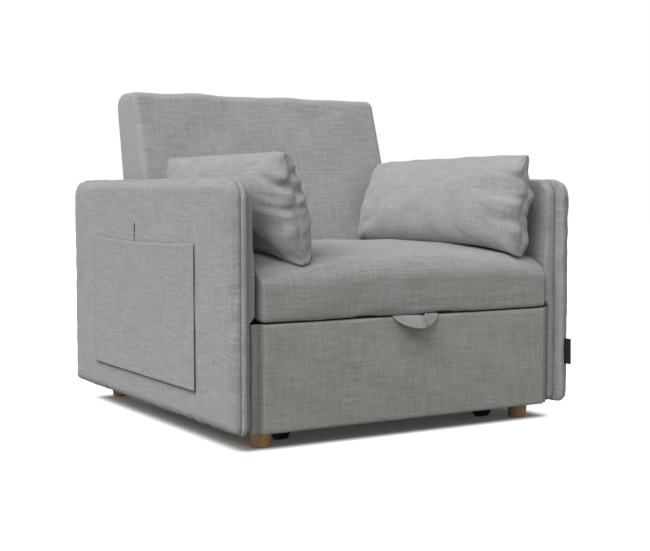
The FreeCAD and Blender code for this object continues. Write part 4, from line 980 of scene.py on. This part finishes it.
def pillow_panels(folds, seed):
    """Two cloth panels joined round their border: points as stuffed and as cut, faces, layout and border.

    Stuffed, each section is a superellipse arm, blunt at the ends and keener along the long edges, and
    fuller towards its foot. Each fold (side, height, slant, depth, width) runs in from an end and fades.
    Across it the cloth follows (1 - 2 s^2) exp(-s^2), a dip between two low ridges. Folds and waves are a
    quarter as deep at the rear end."""
    columns = int(round((PILLOW_LENGTH + 0.09) / PILLOW_CELL)) + 1
    rows = int(round((PILLOW_HEIGHT + 0.07) / PILLOW_CELL)) + 1
    place_y, full_y, cut_y = even_arc(PILLOW_LENGTH / 2, PILLOW_THICK / 2, 3.3, columns)
    place_z, full_z, cut_z = even_arc(PILLOW_HEIGHT / 2, PILLOW_THICK / 2, 2.35, rows)
    u, v = np.meshgrid(np.linspace(-1, 1, columns), np.linspace(-1, 1, rows))
    y, z = np.meshgrid(place_y, place_z)
    corner = np.abs(u * v) ** 7
    y, z = y - 0.006 * corner * np.sign(u), z - 0.005 * corner * np.sign(v)
    end = ramp(np.abs(place_y) / (PILLOW_LENGTH / 2), 0.5, 0.5)[None, :] ** 1.6
    rear = np.where(u > 0, 0.25, 1)
    wave = 0.004 * end * rear * ripple(z, 0.2 * y, 0.075, seed + 1) + 0.002 * ripple(y, z, 0.11, seed + 2)
    round_z = np.where(place_z < 0, full_z**0.72, full_z)[:, None]
    dome = PILLOW_THICK / 2 * full_y[None, :] * round_z * (1 - 0.26 * z / (PILLOW_HEIGHT / 2))
    row, column = np.meshgrid(np.arange(rows), np.arange(columns), indexing="ij")
    inside = (row > 0) & (row < rows - 1) & (column > 0) & (column < columns - 1)
    front = np.arange(rows * columns).reshape(rows, columns)
    back = front.copy()
    back[inside] = rows * columns + np.arange(inside.sum())
    stuffed, flat = [], []
    for way in (1, -1):
        lift = 0.0025 * end * rear * ripple(z, 0.3 * y, 0.060, seed + 5 + way)
        for side, height, slant, depth, width in folds:
            s = (z / (PILLOW_HEIGHT / 2) - height - slant * (1 - end) + 0.2 * (u > 0)) / width
            lift = lift - (side == way) * depth * end * rear * (1 - 2 * s**2) * np.exp(-(s**2))
        blunt = 1 - full_y[None, :] ** 3
        fold = lift * (1 - blunt) * np.minimum(dome / 0.02, 1)
        tuck = lift * blunt * np.sign(u) * (1 - v**6) * (0.3 + 0.7 * np.minimum((1 - np.abs(u)) / 0.06, 1))
        stuffed.append(np.stack([wave + way * (dome + fold), y + tuck, z], 2))
        flat.append(np.stack([way * 0.0005 * inside, u * cut_y / 2, v * cut_z / 2], 2))
    points = np.concatenate([stuffed[0].reshape(-1, 3), stuffed[1][inside]])
    cut_points = np.concatenate([flat[0].reshape(-1, 3), flat[1][inside]])
    faces, layouts = [], []
    for index, way in ((front, 1), (back, -1)):
        quads = cell_corners(index).reshape(-1, 4)
        faces.append(quads[:, ::way])
        layouts.append(cut_points[quads[:, ::way]][..., 1:] + (0 if way > 0 else 1.0))
    border = np.concatenate([front[0, :-1], front[:-1, -1], front[-1, :0:-1], front[:0:-1, 0]])
    return points, cut_points, np.concatenate(faces), np.concatenate(layouts).reshape(-1, 2), border


def stuff(name, points, cut_points, faces, border):
    """Cloth under pressure from inside, with its border held: returns the points after it has settled."""
    mesh = bpy.data.meshes.new(name)
    mesh.from_pydata(points.tolist(), [], faces.tolist())
    work = add_object(name, mesh)
    work.shape_key_add(name="sewn")
    cut_key = work.shape_key_add(name="cut")
    cut_key.data.foreach_set("co", cut_points.ravel())
    held = work.vertex_groups.new(name="held")
    held.add([int(index) for index in border], 0.7, "REPLACE")
    cloth = work.modifiers.new("stuffing", "CLOTH")
    for setting, value in STUFFING.items():
        setattr(cloth.settings, setting, value)
    cloth.settings.use_pressure = True
    cloth.settings.vertex_group_mass = "held"
    cloth.settings.rest_shape_key = cut_key
    cloth.settings.effector_weights.gravity = 0
    cloth.collision_settings.use_collision = False
    cloth.point_cache.frame_end = 40
    for step in range(1, 21):
        bpy.context.scene.frame_set(step)
    done = bpy.data.meshes.new_from_object(work.evaluated_get(bpy.context.evaluated_depsgraph_get()))
    settled = np.zeros(len(done.vertices) * 3)
    done.vertices.foreach_get("co", settled)
    bpy.data.objects.remove(work)
    bpy.context.scene.frame_set(1)
    return settled.reshape(-1, 3)


def leaned(points, tilt, twist, turn, foot):
    """Points leaned sideways by tilt + twist * Y, dipped about X, turned about Z, then stood on the foot.

    The front end's foot hangs lower by a parabola, over the roll of the seat, and its top stays straight."""
    x, y, z = points[:, 0], points[:, 1], points[:, 2]
    lean = np.radians(tilt + twist * y / (PILLOW_LENGTH / 2))
    x, z = x * np.cos(lean) + z * np.sin(lean), z * np.cos(lean) - x * np.sin(lean)
    z = z - FRONT_HANG * np.clip((-y - 0.13) / 0.18, 0, 1.2) ** 2 * (1 - np.clip(z / PILLOW_HEIGHT, 0, 1))
    dip, turn = math.radians(PILLOW_DIP), math.radians(turn)
    y, z = y * math.cos(dip) - z * math.sin(dip), y * math.sin(dip) + z * math.cos(dip)
    x, y = x * math.cos(turn) - y * math.sin(turn), x * math.sin(turn) + y * math.cos(turn)
    return np.stack([x, y, z], 1) + foot


pillow_linen = linen("pillow_linen", (0.43, 0.44, 0.435), 1.0)
LEFT_FOLDS = (
    (-1, 0.42, 0.30, 0.012, 0.13), (-1, 0.02, 0.12, 0.007, 0.09), (-1, -0.50, -0.20, 0.003, 0.16),
    (1, 0.60, -0.15, 0.008, 0.10), (1, 0.27, -0.10, 0.010, 0.11), (1, 0.00, 0.15, 0.006, 0.07),
    (1, -0.52, 0.35, 0.005, 0.12),
)
RIGHT_FOLDS = (
    (-1, 0.52, 0.12, 0.007, 0.13), (-1, 0.12, 0.05, 0.007, 0.11), (-1, -0.34, -0.12, 0.006, 0.14),
    (1, 0.35, 0.10, 0.006, 0.12), (1, -0.20, -0.10, 0.005, 0.12),
)
for name, tilt, twist, turn, foot, folds, seed in (
    ("left", -13.0, 0.0, 0.5, (-0.286, -0.158, 0.4363), LEFT_FOLDS, 81),
    ("right", 12.0, 5.0, 7.2, (0.292, -0.158, 0.4366), RIGHT_FOLDS, 91),
):
    points, cut_points, faces, layout, border = pillow_panels(folds, seed)
    points = stuff(name + "_pillow_work", points, cut_points, faces, border)
    low, high = points.min(0), points.max(0)
    points = (points - (low + high) / 2) / (high - low) * (PILLOW_THICK, PILLOW_LENGTH, PILLOW_HEIGHT)
    points[border] *= (1, 0.986, 0.978)
    points[:, 2] += PILLOW_HEIGHT / 2 - 0.004
    points = leaned(points, tilt, twist, turn, foot)
    pillow = cloth_object(name + "_pillow_cover", points, faces.tolist(), layout, pillow_linen)
    settle = pillow.modifiers.new("settle", "SMOOTH")
    settle.factor = 0.5
    settle.iterations = 1
    smooth = pillow.modifiers.new("smooth", "SUBSURF")
    smooth.levels = smooth.render_levels = 1
    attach(pillow, name + "_pillow")
    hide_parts(name + "_pillow")
